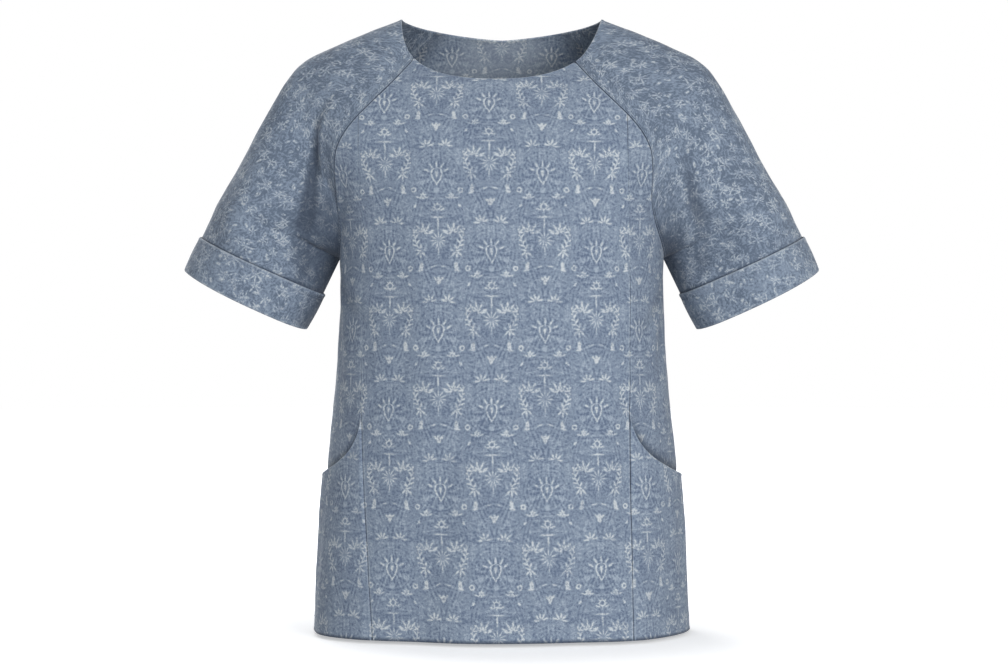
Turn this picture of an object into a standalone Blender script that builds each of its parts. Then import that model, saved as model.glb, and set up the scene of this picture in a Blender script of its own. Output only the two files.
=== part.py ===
"""A tunic top with raglan sleeves, turn-up cuffs and two scooped side pockets, worn with no wearer.

Metres, +Z up. The front faces -Y and +X is the wearer's left. The origin lies on the
middle plane, level with the neck points of the shoulders, where the wearer carries the cloth.
Every piece of cloth is its own wall, and neighbours stop short of each other at the seams.
"""
from math import asin, cos, exp, radians, sin

import bpy
import numpy as np
from mathutils import Vector

# Cloth and sewing
CLOTH = 0.0012              # thickness of every wall
SEAM_GAP = 0.0003           # between two pieces that are sewn together
LAYER_GAP = 0.0004          # between a panel and what lies on it
MITRE_LIMIT = 2.0           # longest mitre at a sharp fold, in wall thicknesses
SHARPEST_CORNER = 0.15      # keeps the pull back from two seams that nearly double back finite

# Neckline
NECK_HALF_WIDTH = 0.1115
NECK_FRONT_DROP = 0.073
NECK_BACK_DROP = 0.016
NECK_FRONT_ROUND = 2.4      # exponents of the two curves
NECK_BACK_ROUND = 1.3
FRONT_CORNER_X = 0.0885     # where the front raglan seams meet the neckline
FRONT_CORNER_Z = -0.0505
BACK_CORNER_X = 0.075
RAGLAN_EASE = 1.6           # draws the points of the raglan seams closer at the underarm

# Body
HEM_Z = -0.683
UNDERARM_X = 0.181
UNDERARM_Z = -0.267
FRONT_FULLNESS = 2.3        # exponents of the flat front and the rounder back
BACK_FULLNESS = 2.2
FRONT_TWIST = 0.0095        # how far the front hangs over to the wearer's right
TWIST_FADE = 0.07           # height above the underarm over which that shift begins

# Sleeves and cuffs
SLEEVE_HALF_WIDTH = 0.0745
SLEEVE_HALF_DEPTH = 0.066
SLEEVE_END_X = 0.2870       # the middle of the sleeve's end
SLEEVE_END_Z = -0.3125
CUFF_TOP = 0.515            # top of the turn-up, as a share from the underarm to the sleeve's end
CUFF_TILT = 0.0045          # how much lower the front of the sleeve's end hangs than its middle
CUFF_EASE = 0.0006          # how far the turn-up stands off the sleeve
RING_STRETCH = 0.35         # length of the sleeve below the underarm, in raglan seams
SEAM_CALM = 30              # degrees beside the underarm seam in which the folds die out

# Pockets
POCKET_TOP_Z = -0.436
POCKET_DROP = 0.0745        # from the top of the mouth down to its end at the side seam
POCKET_GAPE = 0.0033        # most that the pocket stands off the panel
POCKET_GAPE_AT_HEM = 0.35   # share of that at the hem
POCKET_CROWDING = 0.55      # how far its columns crowd towards the front seam
POCKET_CROWN = 0.45         # where across the pocket it reaches its full stand

# Mesh density: segments along each stretch
BODY_ROWS = 20
FRONT_NECK_COLUMNS = 8
FRONT_RAGLAN_COLUMNS = 3
SIDE_COLUMNS = 7
BACK_COLUMNS = 20
SLEEVE_COLUMNS = 20
POCKET_COLUMNS = 10
POCKET_ROWS = 9


def table(columns, *rows):
    """Named columns of numbers, in rising order of the first."""
    values = np.array(sorted(rows)).T
    return dict(zip(columns.split(), values))


def read(rows, column, at):
    """A smooth curve through one column of a table, held level past its ends."""
    xs = next(iter(rows.values()))
    ys = rows[column]
    slopes = np.gradient(ys, xs)
    at = min(max(at, xs[0]), xs[-1])
    i = min(int(np.searchsorted(xs, at, side="right")) - 1, len(xs) - 2)
    span = xs[i + 1] - xs[i]
    t = (at - xs[i]) / span
    ease = t * t * (3 - 2 * t)
    bend = slopes[i] * t * (1 - t) ** 2 - slopes[i + 1] * t * t * (1 - t)
    return float(ys[i] + (ys[i + 1] - ys[i]) * ease + span * bend)


# The body by height: half width, and depth before and behind the middle plane
BODY = table(
    "z half_width front back",
    (0.000, 0.1115, 0.012, 0.047),
    (-0.016, 0.1520, 0.026, 0.062),
    (-0.036, 0.1990, 0.040, 0.077),
    (-0.056, 0.2300, 0.056, 0.089),
    (-0.076, 0.2430, 0.075, 0.099),
    (-0.100, 0.2450, 0.090, 0.108),
    (-0.125, 0.2370, 0.103, 0.115),
    (-0.150, 0.2200, 0.112, 0.120),
    (-0.175, 0.2040, 0.119, 0.123),
    (-0.200, 0.1920, 0.124, 0.125),
    (-0.235, 0.1840, 0.129, 0.125),
    (-0.270, 0.1810, 0.132, 0.123),
    (-0.340, 0.1815, 0.133, 0.121),
    (-0.385, 0.1840, 0.134, 0.121),
    (-0.430, 0.1880, 0.136, 0.123),
    (-0.485, 0.1935, 0.139, 0.127),
    (-0.540, 0.1985, 0.143, 0.132),
    (-0.610, 0.2035, 0.148, 0.137),
    (-0.683, 0.2070, 0.152, 0.141),
)

# The front raglan seam from the neckline down to the underarm
FRONT_RAGLAN = table(
    "z x",
    (-0.0780, 0.1118), (-0.1010, 0.1345), (-0.1187, 0.1516), (-0.1350, 0.1640),
    (-0.1500, 0.1712), (-0.1680, 0.1738), (-0.2000, 0.1728), (-0.2310, 0.1735),
    (UNDERARM_Z, UNDERARM_X), (FRONT_CORNER_Z, FRONT_CORNER_X),
)
BACK_RAGLAN = table(
    "z x",
    (-0.0079, BACK_CORNER_X), (-0.0350, 0.1010), (-0.0700, 0.1250), (-0.1100, 0.1470),
    (-0.1500, 0.1620), (-0.1900, 0.1710), (-0.2300, 0.1755), (UNDERARM_Z, UNDERARM_X),
)

# The front vertical seams, and how much of the twist reaches each height
PRINCESS = table(
    "z x twist",
    (-0.060, 0.1470, 1.0), (-0.170, 0.1465, 1.0), (-0.250, 0.1460, 0.75),
    (-0.450, 0.1455, 0.7), (-0.560, 0.1430, 0.4), (-0.683, 0.1392, 0.0),
)
SIDE_SEAM = table("z degrees", (-0.683, 104), (-0.450, 104), (-0.340, 98), (UNDERARM_Z, 90))

# The top of the shoulder and the outer edge of the sleeve, from the neck point down
SHOULDER = table(
    "along x z",
    (0.000, 0.1115, 0.0000), (0.042, 0.1505, -0.0150), (0.093, 0.1980, -0.0352),
    (0.116, 0.2177, -0.0454), (0.132, 0.2300, -0.0555), (0.150, 0.2410, -0.0696),
    (0.193, 0.2630, -0.1070), (0.258, 0.2935, -0.1635), (0.309, 0.3188, -0.2070),
)

# How the sleeve leaves the seams, by share of the raglan seam from neck to underarm:
# reach of the curve at the top and at the seam, fold from lying flush (0) to creased (1),
# and the angle in degrees at which a creased seam sends the cloth forward
SLEEVE = table(
    "share top_reach seam_reach fold turn",
    (0.00, 0.020, 0.018, 0.0, 0), (0.20, 0.040, 0.030, 0.0, 0), (0.40, 0.056, 0.042, 0.15, 0),
    (0.60, 0.068, 0.050, 0.75, 8), (0.75, 0.074, 0.058, 1.0, 22), (0.90, 0.082, 0.076, 1.0, 42),
    (1.00, 0.088, 0.092, 1.0, 54),
)
CUFF_TURN = 86              # the same angle at the sleeve's end, where the ring is round

# Soft waves of the lower body: angle from the middle of the front, half width in degrees,
# depth at the hem (out is positive) and height above the hem where they die out
BODY_WAVES = table(
    "degrees width depth reach",
    (-62, 13, 0.0035, 0.22), (-24, 11, -0.0060, 0.24), (-5, 12, 0.0030, 0.16),
    (19, 10, -0.0030, 0.14), (37, 11, 0.0035, 0.20), (66, 12, -0.0025, 0.18),
    (122, 12, -0.0055, 0.26), (143, 11, 0.0050, 0.30), (168, 12, -0.0060, 0.24),
    (-171, 12, 0.0040, 0.20), (-148, 12, -0.0055, 0.28), (-124, 12, 0.0045, 0.22),
)
# Soft folds down the sleeve: angle round the sleeve from its outer edge (front is
# negative), half width, depth, and where along the sleeve each one is deepest
SLEEVE_FOLDS = table(
    "degrees width depth along spread",
    (-118, 20, -0.0050, 1.05, 0.32), (-72, 18, 0.0022, 1.10, 0.40), (-28, 20, -0.0020, 1.15, 0.35),
    (64, 20, -0.0026, 1.05, 0.40), (112, 20, -0.0048, 1.00, 0.34),
)


def smoothstep(x):
    x = min(max(x, 0.0), 1.0)
    return x * x * (3 - 2 * x)


def signed_power(x, exponent):
    return (abs(x) ** exponent) * (1 if x >= 0 else -1)


def spread(start, end, steps):
    return [start + (end - start) * i / steps for i in range(steps + 1)]


def solve(rule, wanted, low, high):
    """Where a rising rule reaches the wanted value, by halving the range."""
    for _ in range(40):
        middle = (low + high) / 2
        if rule(middle) < wanted:
            low = middle
        else:
            high = middle
    return (low + high) / 2


def bezier(a, b, c, d, t):
    s = 1 - t
    return a * s ** 3 + b * 3 * s * s * t + c * 3 * s * t * t + d * t ** 3


def body_waves(degrees, z):
    """How far the cloth swings out of the plain form low down on the body."""
    swing = 0.0
    for i, middle in enumerate(BODY_WAVES["degrees"]):
        turn = (degrees - middle + 180) % 360 - 180
        fade = smoothstep(1 - (z - HEM_Z) / BODY_WAVES["reach"][i])
        swing += BODY_WAVES["depth"][i] * fade * exp(-((turn / BODY_WAVES["width"][i]) ** 2))
    return swing


def body_point(degrees, z, out=0.0):
    """A point of the body's form: degrees run from the middle of the front towards +X."""
    turn = radians(degrees)
    before = cos(turn) >= 0
    power = 2 / (FRONT_FULLNESS if before else BACK_FULLNESS)
    depth = read(BODY, "front" if before else "back", z)
    out += body_waves(degrees, z)
    x = (read(BODY, "half_width", z) + out) * signed_power(sin(turn), power)
    y = -(depth + out) * signed_power(cos(turn), power)
    on_middle_plane = abs(abs(degrees) - 90) < 1e-6
    return Vector((x, 0 if on_middle_plane else y, z))


def body_normal(degrees, z):
    """Outward direction of the body's form."""
    across = body_point(degrees + 0.5, z) - body_point(degrees - 0.5, z)
    up = body_point(degrees, z + 0.002) - body_point(degrees, z - 0.002)
    return across.cross(up).normalized()


def body_degrees(x, z, fullness=FRONT_FULLNESS):
    """The angle of the form at which it is x wide at height z, on the front."""
    share = min(abs(x) / read(BODY, "half_width", z), 1.0)
    return np.sign(x) * np.degrees(asin(share ** (fullness / 2)))


def neck_z(x, drop, roundness):
    """Height of a neckline curve at x, down from the neck points."""
    share = min(abs(x) / NECK_HALF_WIDTH, 1.0)
    return -drop * (1 - share ** roundness) ** (1 / roundness)


def front_neck(x):
    """Angle and height on the neckline's front."""
    z = neck_z(x, NECK_FRONT_DROP, NECK_FRONT_ROUND)
    return body_degrees(x, z), z


def back_neck(x):
    """Angle and height on the neckline's back."""
    z = neck_z(x, NECK_BACK_DROP, NECK_BACK_ROUND)
    return 180 - body_degrees(x, z, BACK_FULLNESS), z


def raglan_z(top, share):
    """Height on a raglan seam that starts at the height top on the neckline."""
    return UNDERARM_Z + (top - UNDERARM_Z) * (1 - share) ** RAGLAN_EASE


def front_raglan_x(side, z):
    twist = FRONT_TWIST * smoothstep((z - UNDERARM_Z) / TWIST_FADE)
    return side * read(FRONT_RAGLAN, "x", z) - twist


def front_raglan(side, share):
    """Angle and height on the front raglan seam; share runs from the neckline to the underarm."""
    if share >= 1:
        return side * 90.0, UNDERARM_Z
    top = front_neck(front_raglan_x(side, FRONT_CORNER_Z))[1]
    z = raglan_z(top, share)
    return body_degrees(front_raglan_x(side, z), z), z


def back_raglan(side, share):
    """The same on the back raglan seam."""
    if share >= 1:
        return side * 90.0, UNDERARM_Z
    z = raglan_z(back_neck(BACK_CORNER_X)[1], share)
    x = read(BACK_RAGLAN, "x", z)
    return side * (180 - body_degrees(x, z, BACK_FULLNESS)), z


def princess_degrees(side, z):
    """Angle of a front vertical seam; the front's twist carries both to one side."""
    x = side * read(PRINCESS, "x", z) - FRONT_TWIST * read(PRINCESS, "twist", z)
    return body_degrees(x, z)


def side_degrees(side, z):
    return side * read(SIDE_SEAM, "degrees", z)


def raglan_shares(side):
    """Shares of the front raglan seam at its points: first on the centre front, then on the side."""
    def past_princess(share):
        degrees, z = front_raglan(side, share)
        return abs(degrees) - abs(princess_degrees(side, z))

    meeting = solve(past_princess, 0.0, 0.0, 1.0)
    return spread(0, meeting, FRONT_RAGLAN_COLUMNS) + spread(meeting, 1, SIDE_COLUMNS)[1:]


def body_panel(tops, left, right):
    """Rows of points from the hem up to the top edge, between two seams that give an angle by height."""
    rows = []
    for rise in spread(0, 1, BODY_ROWS):
        line = []
        for column, (top_degrees, top_z) in enumerate(tops):
            even = column / (len(tops) - 1)
            top_width = right(top_z) - left(top_z)
            at_top = (top_degrees - left(top_z)) / top_width if abs(top_width) > 1e-9 else even
            across = even + (at_top - even) * rise
            z = HEM_Z + (top_z - HEM_Z) * rise
            line.append(body_point(left(z) + (right(z) - left(z)) * across, z))
        rows.append(line)
    return rows


def centre_front():
    """Between the two front vertical seams, up to the raglan seams and the neckline."""
    seams = {}
    for side in (-1, 1):
        shares = raglan_shares(side)[:FRONT_RAGLAN_COLUMNS + 1]
        seams[side] = [front_raglan(side, share) for share in shares]
    corners = [front_raglan_x(side, FRONT_CORNER_Z) for side in (-1, 1)]
    neck = [front_neck(x) for x in spread(*corners, FRONT_NECK_COLUMNS)]
    tops = seams[-1][::-1] + neck[1:-1] + seams[1]
    return body_panel(tops, lambda z: princess_degrees(-1, z), lambda z: princess_degrees(1, z))


def side_front(side):
    """From the vertical seam of the front to the side seam, up to the raglan seam."""
    tops = [front_raglan(side, share) for share in raglan_shares(side)[FRONT_RAGLAN_COLUMNS:]]
    rows = body_panel(tops, lambda z: princess_degrees(side, z), lambda z: side_degrees(side, z))
    return rows if side > 0 else [line[::-1] for line in rows]


def back():
    """The whole back in one piece, between the side seams and then between the raglan seams."""
    heights = spread(HEM_Z, UNDERARM_Z, BODY_ROWS)
    edges = [(side_degrees(1, z), z) for z in heights]
    steps = FRONT_RAGLAN_COLUMNS + SIDE_COLUMNS
    edges += [back_raglan(1, share) for share in spread(1, 0, steps)[1:]]
    corner_degrees, corner_z = edges[-1]
    turns = spread(-1, 1, BACK_COLUMNS)
    dips = []
    for turn in turns:
        wanted = (180 - corner_degrees) * abs(turn)
        neck_x = solve(lambda x: 180 - back_neck(x)[0], wanted, 0, BACK_CORNER_X)
        dips.append(back_neck(neck_x)[1] - corner_z)
    rows = []
    for row, (degrees, z) in enumerate(edges):
        rise = max(row - BODY_ROWS, 0) / steps
        rows.append([
            body_point(180 + (180 - degrees) * turn, z + dip * rise ** 2)
            for turn, dip in zip(turns, dips)
        ])
    return rows


def shoulder_point(side, share):
    """A point on the top of the shoulder, share of the way down to the underarm's level."""
    along = SHOULDER["along"][-1] * share
    return Vector((side * read(SHOULDER, "x", along), 0.0, read(SHOULDER, "z", along)))


def neck_heading(side, face):
    """The neckline's own direction where it crosses a raglan seam."""
    edge, x = back_neck, side * BACK_CORNER_X
    if face < 0:
        edge, x = front_neck, front_raglan_x(side, FRONT_CORNER_Z)
    before, here = (body_point(*edge(value)) for value in (x - 0.004 * side, x))
    return (here - before).normalized()


def seam_direction(side, face, share, seam, top):
    """Where the sleeve's cloth heads as it leaves a raglan seam; face is -1 on the front."""
    if share == 0:
        return neck_heading(side, face)
    degrees, z = (front_raglan if face < 0 else back_raglan)(side, share)
    normal = body_normal(degrees, z)
    chord = top - seam
    flush = (chord - normal * chord.dot(normal)).normalized()
    outward = Vector((chord.x, 0, chord.z)).normalized()
    turn = radians(read(SLEEVE, "turn", share))
    creased = outward * cos(turn) + Vector((0, face, 0)) * sin(turn)
    fold = read(SLEEVE, "fold", share)
    return (flush * (1 - fold) + creased * fold).normalized()


def sleeve_row(side, share, back_share):
    """Points over the shoulder from the front raglan seam to the back one."""
    front = body_point(*front_raglan(side, share))
    behind = body_point(*back_raglan(side, back_share))
    top = shoulder_point(side, share)
    reach = read(SLEEVE, "top_reach", share)
    leave = read(SLEEVE, "seam_reach", share)
    halves = []
    for face, seam in ((-1, front), (1, behind)):
        heading = seam_direction(side, face, share if face < 0 else back_share, seam, top)
        handle = top + Vector((0, face * reach, 0))
        halves.append(half_row(seam, seam + heading * leave, handle, top))
    return fold_row(halves[0] + halves[1][-2::-1], share)


def half_row(seam, leaving, arriving, top):
    """Points from a seam to the top of the sleeve, along one curve."""
    return [bezier(seam, leaving, arriving, top, t) for t in spread(0, 1, SLEEVE_COLUMNS // 2)]


def fold_row(line, along):
    """Presses the soft folds into one row of a sleeve; along is 1 at the underarm."""
    middle = sum(line, Vector()) / len(line)
    moved = []
    for point, degrees in zip(line, spread(-180, 180, len(line) - 1)):
        push = 0.0
        for i, centre in enumerate(SLEEVE_FOLDS["degrees"]):
            turn = (degrees - centre) / SLEEVE_FOLDS["width"][i]
            reach = (along - SLEEVE_FOLDS["along"][i]) / SLEEVE_FOLDS["spread"][i]
            push += SLEEVE_FOLDS["depth"][i] * exp(-turn * turn - reach * reach)
        off_seam = smoothstep((180 - abs(degrees)) / SEAM_CALM)
        moved.append(point + (point - middle).normalized() * push * off_seam)
    return moved


def underarm():
    """The point under the wearer's left arm where the seams meet."""
    return body_point(90, UNDERARM_Z)


def sleeve_start():
    """The middle of the left sleeve where it closes into a tube."""
    return (underarm() + shoulder_point(1, 1)) / 2


def sleeve_end():
    return Vector((SLEEVE_END_X, 0, SLEEVE_END_Z))


def sleeve_ring(side, share):
    """A closed ring below the underarm; share runs from the underarm to the sleeve's end."""
    across = shoulder_point(1, 1) - underarm()
    along = (sleeve_end() - sleeve_start()).normalized()
    square = Vector((-along.z, 0, along.x))
    reach = across.normalized().lerp(square, share).normalized()
    reach *= across.length / 2 * (1 - share) + SLEEVE_HALF_WIDTH * share
    middle = sleeve_start().lerp(sleeve_end(), share)
    near, far = middle - reach, middle + reach
    first_turn = read(SLEEVE, "turn", 1)
    turn = radians(first_turn + (CUFF_TURN - first_turn) * smoothstep(share / CUFF_TOP))
    leave, arrive = read(SLEEVE, "seam_reach", 1), read(SLEEVE, "top_reach", 1)
    halves = []
    for face in (-1, 1):
        heading = reach.normalized() * cos(turn) + Vector((0, face, 0)) * sin(turn)
        handle = far + Vector((0, face * arrive, 0))
        halves.append(half_row(near, near + heading * leave, handle, far))
    ring = []
    for point in halves[0] + halves[1][-2::-1]:
        point = point - along * (CUFF_TILT * share * point.y / SLEEVE_HALF_DEPTH)
        ring.append(Vector((side * point.x, point.y, point.z)))
    return fold_row(ring, 1 + share * RING_STRETCH)


def sleeve_rows(side):
    """All rows of a sleeve: open from the neckline to the underarm, closed rings below."""
    shares = raglan_shares(side)
    steps = len(shares) - 1
    rows = [sleeve_row(side, share, i / steps) for i, share in enumerate(shares[:-1])]
    rings = [0, CUFF_TOP / 2, CUFF_TOP, (1 + CUFF_TOP) / 2, 1]
    return rows + [sleeve_ring(side, share) for share in rings]


class Pieces:
    """Collects the middle surface of each piece, then gives each its wall."""

    def __init__(self):
        self.sheets = {}
        self.shared = {}

    def add(self, name, rows, closed_from=None, flip=False):
        """Adds a grid of points; rows from closed_from on are joined into rings."""
        points, index = [], []
        for r, line in enumerate(rows):
            closed = closed_from is not None and r >= closed_from
            ids = []
            for point in line[:-1] if closed else line:
                points.append(point.copy())
                ids.append(len(points) - 1)
            index.append(ids + [ids[0]] if closed else ids)
        faces = []
        for r in range(len(rows) - 1):
            for c in range(len(rows[r]) - 1):
                quad = [index[r][c], index[r][c + 1], index[r + 1][c + 1], index[r + 1][c]]
                faces.append(quad[::-1] if flip else quad)
        normals = [Vector() for _ in points]
        for face in faces:
            a, b, c, d = (points[i] for i in face)
            cross = (c - a).cross(d - b)
            for i in face:
                normals[i] += cross
        normals = [n.normalized() for n in normals]
        self.sheets[name] = points, faces, normals
        for point in points:
            self.shared.setdefault(self.key(point), []).append(name)

    @staticmethod
    def key(point):
        return tuple(round(value * 1e5) for value in point)

    def sewn(self, a, b):
        """Whether another piece has both of these points too."""
        names = [set(self.shared[self.key(point)]) for point in (a, b)]
        return len(names[0] & names[1]) > 1

    def rim(self, name):
        """The open edges of a piece: both ends, and the outward direction of the face there."""
        points, faces, _ = self.sheets[name]
        seen = {}
        for face in faces:
            a, b, c, d = (points[i] for i in face)
            facing = (c - a).cross(d - b).normalized()
            for pair in zip(face, face[1:] + face[:1]):
                seen[pair] = facing
        return [(a, b, facing) for (a, b), facing in sorted(seen.items()) if (b, a) not in seen]

    def seam_edges(self, name):
        """The edges of a piece that are sewn to another: ends, facing and direction into the cloth."""
        points = self.sheets[name][0]
        for a, b, facing in self.rim(name):
            if self.sewn(points[a], points[b]):
                along = (points[b] - points[a]).normalized()
                yield a, b, facing, facing.cross(along).normalized()

    def match_seams(self):
        """Finds how each seam point is cut through the cloth; the sharpest fold there rules."""
        edges = {}
        for name, (points, _, _) in self.sheets.items():
            for a, b, facing, into in self.seam_edges(name):
                ends = frozenset((self.key(points[a]), self.key(points[b])))
                edges.setdefault(ends, []).append((facing, into))
        self.cuts = {}
        for ends, ((facing, into), (other_facing, other_into)) in edges.items():
            both, inward = facing + other_facing, into + other_into
            cut = (both + inward * (1 if both.dot(inward) > 0 else -1)).normalized()
            sharpness = 0.001 + 1 - facing.dot(other_facing)
            for end in ends:
                self.cuts[end] = self.cuts.get(end, Vector()) + cut * sharpness

    def wall(self, name):
        """The piece as a closed wall of triangles, held back from its seams."""
        points, faces, normals = self.sheets[name]
        sewn_ends = {}
        for a, b, _, into in self.seam_edges(name):
            for end in (a, b):
                sewn_ends.setdefault(end, []).append((into, points[b] - points[a]))
        outer, inner = [], []
        for i, point in enumerate(points):
            normal, place = normals[i], point
            if i in sewn_ends:
                normal = self.cuts[self.key(point)].normalized()
                place = point + self.pull(sewn_ends[i], normal)
            stretch = min(1 / max(normal.dot(normals[i]), 0.01), MITRE_LIMIT)
            outer.append(place + normal * stretch * CLOTH / 2)
            inner.append(place - normal * stretch * CLOTH / 2)
        count = len(points)
        solid = []
        for a, b, c, d in faces:
            solid += [(a, b, c), (a, c, d)]
            solid += [(a + count, c + count, b + count), (a + count, d + count, c + count)]
        for a, b, _ in self.rim(name):
            solid.append((b, a, a + count, b + count))
        return outer + inner, solid

    @staticmethod
    def pull(ends, normal):
        """The move that leaves half a seam's gap along one or two seams."""
        away = []
        for into, along in ends:
            across = normal.cross(along).normalized()
            away.append(across if across.dot(into) > 0 else -across)
        first, second = away[0], away[-1]
        together = max(1 + first.dot(second), SHARPEST_CORNER)
        return (first + second) * (SEAM_GAP / 2 / together)


def material(name, colour, roughness):
    cloth = bpy.data.materials.new(name)
    cloth.use_nodes = True
    shader = cloth.node_tree.nodes["Principled BSDF"]
    shader.inputs["Base Color"].default_value = (*colour, 1)
    shader.inputs["Roughness"].default_value = roughness
    shader.inputs["Metallic"].default_value = 0
    return cloth


def make_object(name, points, faces, cloth):
    mesh = bpy.data.meshes.new(name)
    mesh.from_pydata([tuple(p) for p in points], [], faces)
    mesh.materials.append(cloth)
    mesh.validate()
    mesh.shade_smooth()
    mesh.set_sharp_from_angle(angle=radians(50))
    piece = bpy.data.objects.new(name, mesh)
    bpy.context.collection.objects.link(piece)
    return piece


def pocket_rows(side):
    """The pocket's sheet: the side panel's own points moved out, from the hem up to the mouth."""
    rows = []
    for rise in spread(0, 1, POCKET_ROWS):
        line = []
        for column in spread(0, 1, POCKET_COLUMNS):
            across = column * (1 - POCKET_CROWDING * (1 - column))
            mouth = POCKET_TOP_Z - POCKET_DROP * (1 - (1 - across ** 0.5) ** 2)
            z = HEM_Z + (mouth - HEM_Z) * rise
            stand = POCKET_GAPE * min(across / POCKET_CROWN, 1) ** 0.7 * (1 - across ** 7)
            stand *= POCKET_GAPE_AT_HEM + (1 - POCKET_GAPE_AT_HEM) * smoothstep(rise)
            start, end = princess_degrees(side, z), side_degrees(side, z)
            degrees = start + (end - start) * across
            line.append(body_point(degrees, z, CLOTH + LAYER_GAP + stand))
        rows.append(line if side > 0 else line[::-1])
    return rows


def offset_ring(side, share, out):
    """A ring of the sleeve moved out along its own plane."""
    ring = sleeve_ring(side, share)[:-1]
    middle = sum(ring, Vector()) / len(ring)
    moved = []
    for i, point in enumerate(ring):
        tangent = (ring[(i + 1) % len(ring)] - ring[i - 1]).normalized()
        radial = point - middle
        radial = (radial - tangent * radial.dot(tangent)).normalized()
        moved.append(point + radial * out)
    return moved


def cuff(side):
    """The turned-up end of a sleeve: an L-shaped section swept round the sleeve."""
    length = (sleeve_end() - sleeve_start()).length
    under = 1 + LAYER_GAP / length
    end = under + CLOTH / length
    inside, outside = CLOTH / 2 + LAYER_GAP, CLOTH * 3 / 2 + LAYER_GAP
    middle = (1 + CUFF_TOP) / 2
    profile = (
        (end, outside), (middle, outside + CUFF_EASE), (CUFF_TOP, outside + CUFF_EASE / 2),
        (CUFF_TOP, inside + CUFF_EASE / 2), (middle, inside + CUFF_EASE), (under, inside),
        (under, -CLOTH / 2), (end, -CLOTH / 2),
    )
    points = [point for share, out in profile for point in offset_ring(side, share, out)]
    faces = []
    count = SLEEVE_COLUMNS
    for p in range(len(profile)):
        q = (p + 1) % len(profile)
        for c in range(count):
            d = (c + 1) % count
            quad = [p * count + c, p * count + d, q * count + d, q * count + c]
            for triangle in ((quad[0], quad[1], quad[2]), (quad[0], quad[2], quad[3])):
                faces.append(triangle if side > 0 else triangle[::-1])
    return points, faces


def build():
    for old in list(bpy.data.objects):
        bpy.data.objects.remove(old, do_unlink=True)
    body_cloth = material("body_print", (0.24, 0.29, 0.36), 0.85)
    sleeve_cloth = material("sleeve_print", (0.22, 0.27, 0.34), 0.85)
    pocket_cloth = material("pocket_print", (0.23, 0.28, 0.35), 0.85)
    cuff_cloth = material("cuff_print", (0.25, 0.30, 0.37), 0.85)
    first_ring = FRONT_RAGLAN_COLUMNS + SIDE_COLUMNS
    hands = ((1, "left"), (-1, "right"))

    pieces = Pieces()
    cloths = {"centre_front": body_cloth, "back": body_cloth}
    pieces.add("centre_front", centre_front())
    pieces.add("back", back())
    for side, hand in hands:
        pieces.add("side_front_" + hand, side_front(side))
        pieces.add("sleeve_" + hand, sleeve_rows(side), closed_from=first_ring, flip=side > 0)
        pieces.add("pocket_" + hand, pocket_rows(side))
        cloths["side_front_" + hand] = body_cloth
        cloths["sleeve_" + hand] = sleeve_cloth
        cloths["pocket_" + hand] = pocket_cloth

    pieces.match_seams()
    for name in pieces.sheets:
        make_object(name, *pieces.wall(name), cloths[name])
    for side, hand in hands:
        make_object("cuff_" + hand, *cuff(side), cuff_cloth)


build()
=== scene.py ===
"""The finished cloth of a tunic top: every panel, sleeve, pocket and turn-up as a thin shell with
its creases, sewing and printed cotton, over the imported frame.

Metres, +Z up. The front faces -Y and +X is the wearer's left.
"""

from math import cos, pi, radians, sin

import bpy
import numpy as np
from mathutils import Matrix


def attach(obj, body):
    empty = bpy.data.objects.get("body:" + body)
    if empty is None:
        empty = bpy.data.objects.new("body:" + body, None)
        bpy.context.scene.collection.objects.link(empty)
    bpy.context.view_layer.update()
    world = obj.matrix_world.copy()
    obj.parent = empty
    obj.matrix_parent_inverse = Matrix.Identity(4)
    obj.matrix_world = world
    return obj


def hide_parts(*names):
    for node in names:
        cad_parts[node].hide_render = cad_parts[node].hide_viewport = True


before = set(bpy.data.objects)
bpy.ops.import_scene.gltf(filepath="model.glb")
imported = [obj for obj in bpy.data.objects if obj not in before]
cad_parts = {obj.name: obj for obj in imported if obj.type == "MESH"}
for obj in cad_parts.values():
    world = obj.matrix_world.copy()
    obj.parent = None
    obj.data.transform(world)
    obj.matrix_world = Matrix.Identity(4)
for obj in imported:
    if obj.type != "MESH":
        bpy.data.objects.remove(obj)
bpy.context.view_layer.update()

# Cloth and sewing
HALF_CLOTH = 0.0006          # half the thickness of a wall
SEAM_SHARE = 0.00010         # each piece's share of the gap at a seam
LAYER_GAP = 0.0004           # between a pocket and the panel under it
SEAM_ROLL = 0.0012           # how far from a seam the cloth starts to turn in
EDGE_ROLL = 0.0010           # the same at a free edge
SEAM_SHADE = 0.5             # painted shade in a seam
SLEEVE_SEAM_SHADE = 1.5      # the same in a sleeve's seams
EDGE_BEAD = 0.00045          # how much a turned edge stands out
EDGE_BEAD_AT = 0.0016        # and how far in from the edge
ALLOWANCE = 0.00035          # what a stitched-down seam allowance adds
ALLOWANCE_WIDTH = 0.0085
STITCH_SINK = 0.00035        # how deep a row of stitches pulls in
TOPSTITCH = 0.0022           # from a seam to its row of stitches
STITCH_PITCH = 0.0032
STITCH_LENGTH = 0.0025
THREAD = 0.00024             # half the thread's thickness
INSIDE_PALER = 0.55          # how much paler the wrong side of the print is, partly its own paler tone and partly painted light

# Neckline
NECK_HALF_WIDTH = 0.1115
NECK_FRONT_DROP = 0.073
NECK_BACK_DROP = 0.016
NECK_FRONT_ROUND = 2.4       # exponents of the two curves
NECK_BACK_ROUND = 1.3
FRONT_CORNER_X = 0.0885      # where the front raglan seams meet the neckline
FRONT_CORNER_Z = -0.0505
BACK_CORNER_X = 0.075
RAGLAN_EASE = 1.6            # draws the points of the raglan seams closer at the underarm
NECK_LEAN = 0.0075           # the front neckline sits this far towards -X, as the seams do

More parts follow.
